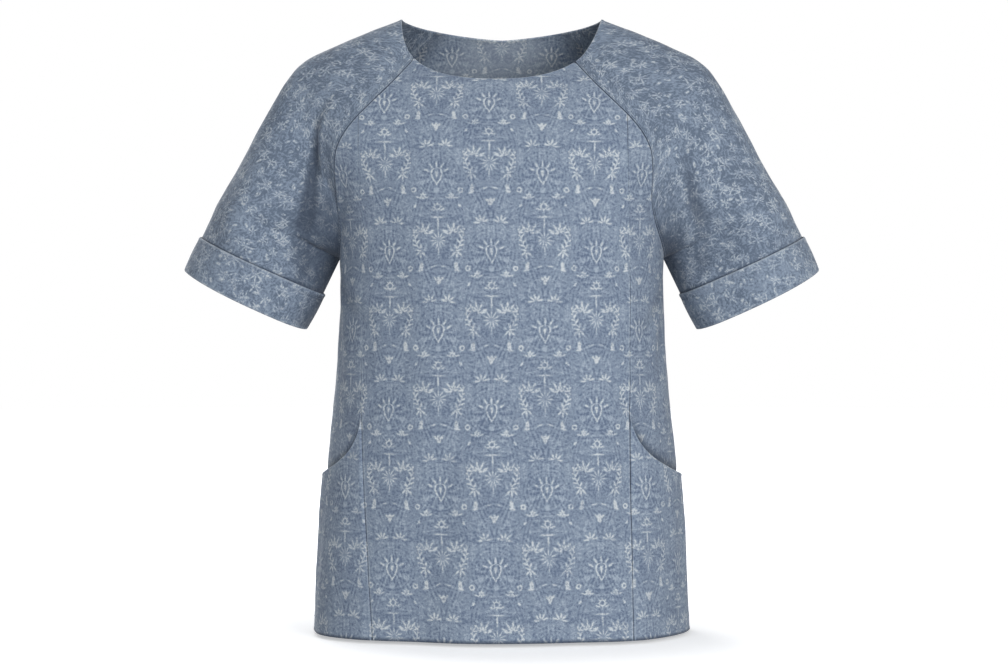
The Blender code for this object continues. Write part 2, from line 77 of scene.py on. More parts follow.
# Body
HEM_Z = -0.683
UNDERARM_X = 0.181
UNDERARM_Z = -0.267
FRONT_FULLNESS = 2.3         # exponents of the flat front and the rounder back
BACK_FULLNESS = 2.2
FRONT_TWIST = 0.0095         # how far the front hangs over to the wearer's right
TWIST_FADE = 0.07            # height above the underarm over which that shift begins
HEM_DEPTH = 0.020            # of the turned and stitched hem
HEM_TURN = 0.0003            # what the turned cloth adds
HEM_SHADE = 1.7              # painted shade at the hem's very edge
HEM_SHADE_REACH = 0.0023
CALM = 0.016                 # beside raglan seams and front neckline, where the body's creases die out
NECK_CALM = 0.012            # the same at the neckline of the back and the sleeves
FLAT_FROM_Z = {1: -0.30, -1: -0.40}   # where each vertical front seam starts to lie flat
FLAT_OVER = 0.09             # height over which it goes flat
FLAT_HIDES = 0.0022          # distance added at a flat seam, which hides its roll

# Sleeves and cuffs
SLEEVE_HALF_WIDTH = 0.0745
SLEEVE_HALF_DEPTH = 0.066
SLEEVE_END_X = 0.2870        # the middle of the sleeve's end
SLEEVE_END_Z = -0.3125
CUFF_TOP = 0.515             # top of the turn-up, as a share from the underarm to the sleeve's end
CUFF_TILT = 0.0045           # how much lower the front of the sleeve's end hangs than its middle
RING_STRETCH = 0.35          # length of the sleeve below the underarm, in raglan seams
SEAM_CALM = 30               # degrees beside the underarm seam in which the folds die out
CUFF_TURN = 86               # degrees at which the sleeve's end sends the cloth forward
HALF_SLEEVE_CLOTH = 0.22     # half the way round it
SLEEVE_CALM = 0.014          # beside a sleeve's seams, where its creases die out
CALM_END = 1.28              # place along the sleeve at which they have died out
# painted shade over the inner face of a sleeve
INSIDE_SLEEVE_SHADE = 0.8
CUFF_LINE_SHADE = 0.95       # painted shadow where the sleeve goes in behind its cuff
CUFF_STITCH = 0.006          # from the cuff's upper edge to its row of stitches
CUFF_SEAM_DIP = 0.0011       # at the cuff's own seam
CUFF_SEAM_WIDTH = 0.0012
CUFF_PRINT = (0.031, -0.012)  # where the cuff is cut from the print

# Pockets
POCKET_TOP_Z = -0.436
POCKET_DROP = 0.0745         # from the top of the mouth down to its end at the side seam
POCKET_CORNER = 0.0045       # radius of the outer corner
POCKET_WIDTH = 0.085         # the width that this corner is scaled against
POCKET_GAPE = 0.0033         # most that the pocket stands off the panel
POCKET_GAPE_AT_HEM = 0.35    # share of that at the hem
POCKET_CROWN = 0.45          # where across the pocket it reaches its full stand
POCKET_RECESS = 0.0024       # how far the panel falls back behind a pocket's mouth
POCKET_SEAM = 0.012          # width beside its seams in which the pocket lies close
POCKET_SEAM_GIVES = 0.00105  # how far the panel gives way there
POCKET_LIE = 0.00025         # how far the pocket stands off at its seams
POCKET_SHADOW = 0.0095       # how far above the mouth the painted shadow on the panel reaches
SIDE_SHADE = {1: 0.16, -1: 0.0}     # painted shade on each side front

# How the solids' rows and columns are shared out, which the finer shells follow
NECK_COLUMNS = 8
RAGLAN_COLUMNS = 3
SIDE_COLUMNS = 7
RAGLAN_STEPS = RAGLAN_COLUMNS + SIDE_COLUMNS


def table(columns, *rows):
    """Named columns of numbers, in rising order of the first."""
    return dict(zip(columns.split(), np.array(sorted(rows), float).T))


def read(rows, column, at):
    """A smooth curve through one column of a table, held level past its ends."""
    xs = next(iter(rows.values()))
    ys = rows[column]
    slopes = np.gradient(ys, xs)
    at = np.clip(at, xs[0], xs[-1])
    i = np.clip(np.searchsorted(xs, at, side="right") - 1, 0, len(xs) - 2)
    span = xs[i + 1] - xs[i]
    t = (at - xs[i]) / span
    ease = t * t * (3 - 2 * t)
    bend = slopes[i] * t * (1 - t) ** 2 - slopes[i + 1] * t * t * (1 - t)
    return ys[i] + (ys[i + 1] - ys[i]) * ease + span * bend


BODY = table(
    "z half_width front back",
    (0.000, 0.1115, 0.012, 0.047), (-0.016, 0.1520, 0.026, 0.062), (-0.036, 0.1990, 0.040, 0.077),
    (-0.056, 0.2300, 0.056, 0.089), (-0.076, 0.2430, 0.075, 0.099), (-0.100, 0.2450, 0.090, 0.108),
    (-0.125, 0.2370, 0.103, 0.115), (-0.150, 0.2200, 0.112, 0.120), (-0.175, 0.2040, 0.119, 0.123),
    (-0.200, 0.1920, 0.124, 0.125), (-0.235, 0.1840, 0.129, 0.125), (-0.270, 0.1810, 0.132, 0.123),
    (-0.340, 0.1815, 0.133, 0.121), (-0.385, 0.1840, 0.134, 0.121), (-0.430, 0.1880, 0.136, 0.123),
    (-0.485, 0.1935, 0.139, 0.127), (-0.540, 0.1985, 0.143, 0.132), (-0.610, 0.2035, 0.148, 0.137),
    (-0.683, 0.2070, 0.152, 0.141),
)
FRONT_RAGLAN = table(
    "z x",
    (-0.0780, 0.1118), (-0.1010, 0.1345), (-0.1187, 0.1516), (-0.1350, 0.1640),
    (-0.1500, 0.1712), (-0.1680, 0.1738), (-0.2000, 0.1728), (-0.2310, 0.1735),
    (UNDERARM_Z, UNDERARM_X), (FRONT_CORNER_Z, FRONT_CORNER_X),
)
BACK_RAGLAN = table(
    "z x",
    (-0.0079, BACK_CORNER_X), (-0.0350, 0.1010), (-0.0700, 0.1250), (-0.1100, 0.1470),
    (-0.1500, 0.1620), (-0.1900, 0.1710), (-0.2300, 0.1755), (UNDERARM_Z, UNDERARM_X),
)
PRINCESS = table(
    "z x twist",
    (-0.060, 0.1470, 1.0), (-0.170, 0.1465, 1.0), (-0.250, 0.1460, 0.75),
    (-0.450, 0.1455, 0.7), (-0.560, 0.1430, 0.4), (-0.683, 0.1392, 0.0),
)
SIDE_SEAM = table("z degrees", (-0.683, 104), (-0.450, 104), (-0.340, 98), (UNDERARM_Z, 90))
SHOULDER = table(
    "along x z",
    (0.000, 0.1115, 0.0000), (0.042, 0.1505, -0.0150), (0.093, 0.1980, -0.0352),
    (0.116, 0.2177, -0.0454), (0.132, 0.2300, -0.0555), (0.150, 0.2410, -0.0696),
    (0.193, 0.2630, -0.1070), (0.258, 0.2935, -0.1635), (0.309, 0.3188, -0.2070),
)
# How the sleeve leaves the seams, by share of the raglan seam from neck to underarm: reach of
# the curve at the top and at the seam, fold from lying flush (0) to creased (1), and the angle
# at which a creased seam sends the cloth forward
SLEEVE = table(
    "share top_reach seam_reach fold turn",
    (0.00, 0.023, 0.026, 0.0, 0), (0.20, 0.040, 0.031, 0.0, 0), (0.40, 0.056, 0.042, 0.15, 0),
    (0.60, 0.068, 0.050, 0.75, 8), (0.75, 0.074, 0.058, 1.0, 22), (0.90, 0.082, 0.076, 1.0, 42),
    (1.00, 0.088, 0.092, 1.0, 54),
)
# Soft waves of the lower body: angle from the middle of the front, half width in degrees,
# depth at the hem (out is positive) and height above the hem where they die out
BODY_WAVES = table(
    "degrees width depth reach",
    (-62, 13, 0.0035, 0.22), (-24, 11, -0.0060, 0.24), (-5, 12, 0.0030, 0.16),
    (19, 10, -0.0030, 0.14), (37, 11, 0.0035, 0.20), (66, 12, -0.0025, 0.18),
    (122, 12, -0.0055, 0.26), (143, 11, 0.0050, 0.30), (168, 12, -0.0060, 0.24),
    (-171, 12, 0.0040, 0.20), (-148, 12, -0.0055, 0.28), (-124, 12, 0.0045, 0.22),
)
# Soft folds down the sleeve: angle from its outer edge (front is negative), half width, depth,
# where along the sleeve each one is deepest, and how far it runs
SLEEVE_FOLDS = table(
    "degrees width depth along spread",
    (-118, 20, -0.0050, 1.05, 0.32), (-72, 18, 0.0022, 1.10, 0.40), (-28, 20, -0.0020, 1.15, 0.35),
    (64, 20, -0.0026, 1.05, 0.40), (112, 20, -0.0048, 1.00, 0.34),
)

# Creases pressed into the body: start and end as angle and height, how far the line
# bows, its half width, and its depth (in is negative)
BODY_CREASES = table(
    "degrees z to_degrees to_z bow width depth",
    # drag lines below the front armholes
    (84, -0.285, 52, -0.352, 0.006, 0.010, -0.0021), (87, -0.300, 66, -0.405, -0.008, 0.012, -0.0018),
    (78, -0.250, 55, -0.205, 0.004, 0.009, -0.0014), (-84, -0.288, -50, -0.340, -0.005, 0.011, -0.0024),
    (-88, -0.315, -68, -0.425, 0.006, 0.013, -0.0016), (-77, -0.245, -57, -0.190, 0.004, 0.009, -0.0016),
    # soft lines across the chest and down the front
    (-30, -0.150, -9, -0.190, 0.008, 0.016, -0.0010), (24, -0.140, 38, -0.255, -0.010, 0.015, -0.0012),
    (-37, -0.270, -31, -0.470, 0.007, 0.016, -0.0014), (12, -0.360, 27, -0.560, -0.009, 0.018, -0.0013),
    (-12, -0.420, -19, -0.660, 0.006, 0.017, -0.0016), (40, -0.420, 31, -0.640, 0.005, 0.015, -0.0012),
    (5, -0.500, 8, -0.675, -0.004, 0.014, -0.0011),
    # pull of the pockets
    (50, -0.452, 36, -0.405, 0.003, 0.010, -0.0012), (-50, -0.455, -33, -0.398, 0.004, 0.011, -0.0013),
    (74, -0.530, 70, -0.670, 0.004, 0.013, -0.0014), (-75, -0.545, -81, -0.672, 0.003, 0.012, -0.0013),
    # the back: below the armholes, over the blades and in the small of the back
    (98, -0.280, 128, -0.352, 0.007, 0.012, -0.0026), (104, -0.325, 140, -0.430, -0.009, 0.013, -0.0022),
    (-99, -0.275, -131, -0.338, -0.006, 0.012, -0.0024), (-103, -0.335, -137, -0.445, 0.008, 0.014, -0.0025),
    (142, -0.120, 152, -0.285, 0.007, 0.014, -0.0018), (-145, -0.110, -153, -0.270, -0.008, 0.015, -0.0016),
    (150, -0.372, 176, -0.384, 0.010, 0.013, -0.0022), (-174, -0.408, -140, -0.390, -0.009, 0.013, -0.0020),
    (160, -0.450, 156, -0.660, 0.008, 0.017, -0.0020), (-163, -0.470, -157, -0.672, -0.007, 0.018, -0.0021),
    (176, -0.120, -178, -0.330, 0.005, 0.020, -0.0010),
)
# Creases of a sleeve: angle round it from its outer edge (front is negative) and place along
# it, which is 0 at the neck, 1 at the underarm and 1.35 at its end
SLEEVE_CREASES = table(
    "degrees along to_degrees to_along bow width depth side",
    # the long soft folds that hang beside the body
    (-112, 0.50, -140, 1.10, 0.006, 0.012, -0.0052, 1), (-112, 0.30, -138, 1.08, 0.008, 0.013, -0.0062, -1),
    (112, 0.48, 146, 1.06, -0.007, 0.012, -0.0046, 1), (118, 0.38, 140, 1.02, -0.006, 0.013, -0.0050, -1),
    # the wearer's left sleeve
    (-164, 0.90, -122, 1.20, 0.006, 0.009, -0.0015, 1), (-138, 0.72, -117, 1.06, -0.005, 0.010, -0.0013, 1),
    (-150, 1.12, -136, 1.30, 0.003, 0.008, -0.0012, 1), (-66, 0.52, -48, 0.90, 0.007, 0.012, -0.0011, 1),
    (-24, 0.36, -12, 0.70, 0.004, 0.012, -0.0008, 1), (10, 0.84, 16, 1.22, 0.005, 0.012, -0.0010, 1),
    (44, 0.45, 54, 0.84, -0.006, 0.012, -0.0014, 1), (163, 0.92, 118, 1.10, -0.006, 0.009, -0.0017, 1),
    (150, 1.12, 108, 1.26, 0.005, 0.009, -0.0015, 1), (96, 0.55, 104, 0.80, 0.004, 0.010, -0.0012, 1),
    # the wearer's right sleeve
    (-166, 0.94, -130, 1.26, -0.005, 0.010, -0.0017, -1), (-144, 0.78, -108, 1.00, 0.006, 0.011, -0.0014, -1),
    (-88, 0.62, -80, 0.95, 0.005, 0.012, -0.0010, -1), (-40, 0.92, -52, 1.24, -0.006, 0.012, -0.0011, -1),
    (-8, 0.42, 2, 0.78, -0.004, 0.013, -0.0009, -1), (30, 0.62, 38, 0.98, 0.006, 0.012, -0.0012, -1),
    (160, 0.88, 124, 1.14, 0.007, 0.010, -0.0019, -1), (146, 1.14, 112, 1.22, -0.004, 0.009, -0.0013, -1),
    (72, 0.90, 52, 1.24, 0.006, 0.011, -0.0012, -1), (104, 0.46, 110, 0.72, 0.004, 0.011, -0.0011, -1),
)
BODY_RADIUS = 0.165          # turns angles into lengths where creases are measured
SLEEVE_RADIUS = 0.072
SLEEVE_LENGTH = 0.31
CROOK_SHADE = {1: 0.52, -1: 0.84}   # painted shade where a sleeve folds in beside the body
CROOK_BAND = {1: (0.018, 0.032), -1: (0.020, 0.042)}   # its middle and its reach from the seam
CUFF_SHADE = {1: 0.05, -1: 0.70}    # the same on the cuff
NOTCH_SHADE = {1: 0.9, -1: 0.1}     # painted shadow right at the foot of the armhole
RIDGE = 0.42                 # height of the ridge beside a trough, as a share of its depth
RIDGE_AWAY = 1.7             # from the trough to its ridge, in half widths of the trough
RIDGE_WIDTH = 1.2
DEEPEST_SHADE = 0.005        # depth past which the painted shade in a trough grows no darker
TROUGH_SHADE = 110           # how much painted shade a trough gets, for each metre of its depth


# The form, worked out on whole arrays. It is the solids' own, but for the sleeve's curves, which
# reach a little further beside the neckline.

def smoothstep(x):
    x = np.clip(x, 0, 1)
    return x * x * (3 - 2 * x)


def signed_power(x, exponent):
    return np.sign(x) * np.abs(x) ** exponent


def bell(x, middle, reach):
    """1 at the middle, fading smoothly to nothing within about twice the reach."""
    return np.exp(-((x - middle) / reach) ** 2)


def unit(v):
    return v / np.maximum(np.linalg.norm(v, axis=-1, keepdims=True), 1e-12)


def xyz(x, y, z):
    return np.stack(np.broadcast_arrays(x, y, z), axis=-1)


def body_waves(degrees, z):
    swing = 0.0
    for middle, width, depth, reach in zip(*BODY_WAVES.values()):
        turn = (degrees - middle + 180) % 360 - 180
        swing = swing + depth * smoothstep(1 - (z - HEM_Z) / reach) * bell(turn, 0, width)
    return swing


def body_point(degrees, z, out=0.0):
    """Points of the body's form: degrees run from the middle of the front towards +X."""
    turn = np.radians(degrees)
    before = np.cos(turn) >= 0
    power = np.where(before, 2 / FRONT_FULLNESS, 2 / BACK_FULLNESS)
    depth = np.where(before, read(BODY, "front", z), read(BODY, "back", z))
    out = out + body_waves(degrees, z)
    x = (read(BODY, "half_width", z) + out) * signed_power(np.sin(turn), power)
    y = -(depth + out) * signed_power(np.cos(turn), power)
    return xyz(x, y, z)


def body_normal(degrees, z):
    across = body_point(degrees + 0.5, z) - body_point(degrees - 0.5, z)
    up = body_point(degrees, z + 0.002) - body_point(degrees, z - 0.002)
    return unit(np.cross(across, up))


def body_degrees(x, z, fullness=FRONT_FULLNESS):
    share = np.minimum(np.abs(x) / read(BODY, "half_width", z), 1)
    return np.sign(x) * np.degrees(np.arcsin(share ** (fullness / 2)))


def neck_z(x, drop, roundness):
    share = np.minimum(np.abs(x) / NECK_HALF_WIDTH, 1)
    return -drop * (1 - share ** roundness) ** (1 / roundness)


def front_neck(x):
    lean = NECK_LEAN * (1 - (x / NECK_HALF_WIDTH) ** 6)
    z = neck_z(x + lean, NECK_FRONT_DROP, NECK_FRONT_ROUND)
    return body_degrees(x, z), z


def back_neck(x):
    z = neck_z(x, NECK_BACK_DROP, NECK_BACK_ROUND)
    return 180 - body_degrees(x, z, BACK_FULLNESS), z


# brings both raglan seams to the form's own width where they meet under the arm
UNDERARM_FIT = read(BODY, "half_width", UNDERARM_Z) / UNDERARM_X


def raglan_z(top, share):
    return UNDERARM_Z + (top - UNDERARM_Z) * (1 - share) ** RAGLAN_EASE


def front_raglan_x(side, z):
    twist = FRONT_TWIST * smoothstep((z - UNDERARM_Z) / TWIST_FADE)
    return side * read(FRONT_RAGLAN, "x", z) - twist


def neck_corner(side):
    """Where the front raglan seam meets the neckline, by closing in on both."""
    z = FRONT_CORNER_Z
    for _ in range(30):
        x = front_raglan_x(side, z)
        z = (z + front_neck(x)[1]) / 2
    return x, z


def front_raglan(side, share):
    """Angle and height on the front raglan seam; share runs from the neckline to the underarm."""
    z = raglan_z(neck_corner(side)[1], share)
    return body_degrees(front_raglan_x(side, z) * UNDERARM_FIT, z), z


def back_raglan(side, share):
    z = raglan_z(back_neck(BACK_CORNER_X)[1], share)
    x = read(BACK_RAGLAN, "x", z) * UNDERARM_FIT
    return side * (180 - body_degrees(x, z, BACK_FULLNESS)), z


def princess_degrees(side, z):
    x = side * read(PRINCESS, "x", z) - FRONT_TWIST * read(PRINCESS, "twist", z)
    return body_degrees(x, z)


def side_degrees(side, z):
    return side * read(SIDE_SEAM, "degrees", z)


def princess_meets(side):
    """Share of the front raglan seam at which the vertical seam of the front meets it."""
    low, high = 0.0, 1.0
    for _ in range(40):
        middle = (low + high) / 2
        degrees, z = front_raglan(side, middle)
        if abs(degrees) < abs(princess_degrees(side, z)):
            low = middle
        else:
            high = middle
    return low


def front_share(side, step):
    """Share of the front raglan seam at a step that runs evenly down the back one."""
    return np.interp(step, (0, RAGLAN_COLUMNS / RAGLAN_STEPS, 1), (0, princess_meets(side), 1))


def bezier(a, b, c, d, t):
    s = 1 - t
    return a * s ** 3 + b * 3 * s * s * t + c * 3 * s * t * t + d * t ** 3


def shoulder_point(side, share):
    along = SHOULDER["along"][-1] * share
    return xyz(side * read(SHOULDER, "x", along), 0 * along, read(SHOULDER, "z", along))


def neck_heading(side, face):
    edge, x = back_neck, side * BACK_CORNER_X
    if face < 0:
        edge, x = front_neck, neck_corner(side)[0]
    return unit(body_point(*edge(x)) - body_point(*edge(x - 0.004 * side)))


def seam_direction(side, face, share, seam, top):
    """Where the sleeve's cloth heads as it leaves a raglan seam; face is -1 on the front."""
    degrees, z = (front_raglan if face < 0 else back_raglan)(side, share)
    normal = body_normal(degrees, z)
    chord = top - seam
    flush = unit(chord - normal * (chord * normal).sum(-1, keepdims=True))
    outward = unit(chord * (1, 0, 1))
    turn = np.radians(read(SLEEVE, "turn", share))[:, None]
    creased = outward * np.cos(turn) + np.sin(turn) * (0, face, 0)
    fold = read(SLEEVE, "fold", share)[:, None]
    heading = unit(flush * (1 - fold) + creased * fold)
    first = front_share(side, 1 / RAGLAN_STEPS) if face < 0 else 1 / RAGLAN_STEPS
    below = smoothstep(share / first)[:, None]
    return unit(neck_heading(side, face) * (1 - below) + heading * below)


def fold_rows(rows, degrees, along):
    """Presses the soft folds into the rows of a sleeve."""
    middle = rows.mean(axis=1, keepdims=True)
    push = 0.0
    for centre, width, depth, place, reach in zip(*SLEEVE_FOLDS.values()):
        turn = (degrees - centre) / width
        push = push + depth * np.exp(-turn ** 2 - ((along - place) / reach)[:, None] ** 2)
    push = push * smoothstep((180 - np.abs(degrees)) / SEAM_CALM)
    return rows + unit(rows - middle) * push[..., None]


def both_halves(near_front, near_back, front_heading, back_heading, front_handle, back_handle, top, turns):
    """Rows over a sleeve from its front seam to its back seam; turns run from -1 to 1."""
    rows = []
    for half, seam, leaving, arriving in (
        (turns <= 0, near_front, near_front + front_heading, front_handle),
        (turns > 0, near_back, near_back + back_heading, back_handle),
    ):
        t = (1 - np.abs(turns[half]))[None, :, None]
        rows.append(bezier(*(p[:, None, :] for p in (seam, leaving, arriving, top)), t))
    return np.concatenate(rows, axis=1)


def upper_sleeve(side, steps, turns):
    """Rows between the two raglan seams."""
    share = front_share(side, steps)
    front, behind = body_point(*front_raglan(side, share)), body_point(*back_raglan(side, steps))
    top = shoulder_point(side, share)
    reach, leave = (read(SLEEVE, name, share)[:, None] for name in ("top_reach", "seam_reach"))
    rows = both_halves(
        front, behind,
        seam_direction(side, -1, share, front, top) * leave,
        seam_direction(side, 1, steps, behind, top) * leave,
        top + reach * (0, -1, 0), top + reach * (0, 1, 0), top, turns,
    )
    return fold_rows(rows, turns * 180, share)


def underarm():
    return body_point(90, UNDERARM_Z) * (1, 0, 1)


def sleeve_axis():
    """The middle of the left sleeve where it closes, and at its end."""
    start = (underarm() + shoulder_point(1, 1)) / 2
    return start, np.array((SLEEVE_END_X, 0, SLEEVE_END_Z))


def lower_sleeve(side, share, turns):
    """Rings below the underarm; share runs from the underarm to the sleeve's end."""
    start, end = sleeve_axis()
    share = np.asarray(share, float)[:, None]
    across = shoulder_point(1, 1) - underarm()
    along = unit(end - start)
    square = np.array((-along[2], 0, along[0]))
    reach = unit(unit(across) * (1 - share) + square * share)
    reach = reach * (np.linalg.norm(across) / 2 * (1 - share) + SLEEVE_HALF_WIDTH * share)
    middle = start * (1 - share) + end * share
    near, far = middle - reach, middle + reach
    first_turn = read(SLEEVE, "turn", 1)
    turn = np.radians(first_turn + (CUFF_TURN - first_turn) * smoothstep(share / CUFF_TOP))
    leave, arrive = read(SLEEVE, "seam_reach", 1), read(SLEEVE, "top_reach", 1)
    headings = [(unit(reach) * np.cos(turn) + np.sin(turn) * (0, face, 0)) * leave for face in (-1, 1)]
    handles = [far + np.array((0, face * arrive, 0)) for face in (-1, 1)]
    rows = both_halves(near, near, *headings, *handles, far, turns)
    rows = rows - along * (CUFF_TILT * share * rows[..., 1] / SLEEVE_HALF_DEPTH)[..., None]
    rows = rows * (side, 1, 1)
    return fold_rows(rows, turns * 180, 1 + share[:, 0] * RING_STRETCH)


def creases(rows, across, along):
    """How far the listed troughs and their ridges move each point, from lengths on the cloth."""
    move = 0.0
    for x0, z0, x1, z1, bow, width, depth in rows:
        line = np.array((x1 - x0, z1 - z0))
        length = np.hypot(*line)
        t = ((across - x0) * line[0] + (along - z0) * line[1]) / length ** 2
        off = ((across - x0) * -line[1] + (along - z0) * line[0]) / length
        held = np.clip(t, 0, 1)
        off = off - bow * 4 * held * (1 - held)
        past = np.abs(t - held) * length / width
        fade = np.sin(pi * np.clip(held * 0.9 + 0.06, 0, 1)) ** 0.8 * np.exp(-past ** 2)
        trough = bell(off, 0, width)
        ridge = bell(off, RIDGE_AWAY * width, RIDGE_WIDTH * width)
        move = move + depth * fade * (trough - RIDGE * ridge)
    return move


def body_creases(degrees, z):
    """Creases of the body; an angle past the middle of the back is read from both sides."""
    rows = []
    for x0, z0, x1, z1, bow, width, depth in zip(*BODY_CREASES.values()):
        x1 = x0 + (x1 - x0 + 180) % 360 - 180
        for turn in (-360, 0, 360):
            ends = radians(x0 + turn) * BODY_RADIUS, z0, radians(x1 + turn) * BODY_RADIUS, z1
            rows.append((*ends, bow, width, depth))
    return creases(rows, np.radians(degrees) * BODY_RADIUS, z)


def sleeve_creases(side, degrees, along):
    rows = []
    for x0, z0, x1, z1, bow, width, depth, hand in zip(*SLEEVE_CREASES.values()):
        start = radians(x0) * SLEEVE_RADIUS, z0 * SLEEVE_LENGTH
        end = radians(x1) * SLEEVE_RADIUS, z1 * SLEEVE_LENGTH
        if hand == side:
            rows.append((*start, *end, bow, width, depth))
    return creases(rows, np.radians(degrees) * SLEEVE_RADIUS, along * SLEEVE_LENGTH)


def soft_wander(across, along, phase):
    """The slow, slight unevenness of hanging cotton."""
    swell = np.sin(across * 61 + along * 23 + phase) * np.sin(along * 47 - across * 19 + 2 * phase)
    ripple = np.sin(across * 139 - along * 83 + 3 * phase) * np.sin(along * 117 + across * 41 - phase)
    return 0.00045 * swell + 0.00018 * ripple


def body_wander(degrees, z):
    """The body's unevenness, which dies out at the side seams."""
    round_to_back = np.where(degrees > 180, 360 - degrees, np.abs(degrees))
    from_seam = np.abs(round_to_back - read(SIDE_SEAM, "degrees", z))
    return soft_wander(np.radians(degrees) * BODY_RADIUS, z, 0.4) * smoothstep(from_seam / 8)


# Sheets of cloth as grids

SEAM_LINES = np.array((0.15, 0.45, 0.9, 1.4, 1.8, 2.2, 2.6, 3.2, 4.4, 6.4, 9.0)) / 1000
FREE_LINES = np.array((0.0, 0.12, 0.4, 0.8, 1.3, 2.0, 3.0, 4.4, 6.4)) / 1000
HEM_LINES = np.array((0.0, 0.15, 0.5, 1.0, 2.0, 5.0, 10.0, 16.0, 18.6, 19.4, 20.0, 20.6, 21.5, 24.0)) / 1000
FAR = 1.0                    # stands for no such edge near

# Each piece's even grid lines between its edges: how many, and about how long the cloth is there
FRONT_ACROSS, FRONT_UP = (96, 0.285), (130, 0.60)
SIDE_ACROSS, SIDE_UP = (40, 0.085), (110, 0.50)
BACK_ACROSS, BACK_UP, BACK_ABOVE = (116, 0.40), (100, 0.41), (60, 0.27)
SLEEVE_ACROSS, SLEEVE_DOWN = (110, 0.36), (84, 0.30)
POCKET_ACROSS, POCKET_UP = (60, 0.085), (70, 0.22)
SLEEVE_RINGS = 40
CUFF_TURNS = 161


def divide(count, length, first, last):
    """Shares from 0 to 1 with close lines at both edges and even ones between."""
    low = first / length
    high = 1 - last[::-1] / length
    return np.concatenate([low, np.linspace(low[-1], high[0], count)[1:-1], high])


def surface_normals(points):
    across, down = np.gradient(points, axis=1), np.gradient(points, axis=0)
    return unit(np.cross(across, down))


def run(points, axis):
    """Length walked along a grid's rows or columns."""
    steps = np.linalg.norm(np.diff(points, axis=axis), axis=-1)
    start = np.zeros_like(np.take(steps, [0], axis=axis))
    return np.concatenate([start, np.cumsum(steps, axis=axis)], axis=axis)


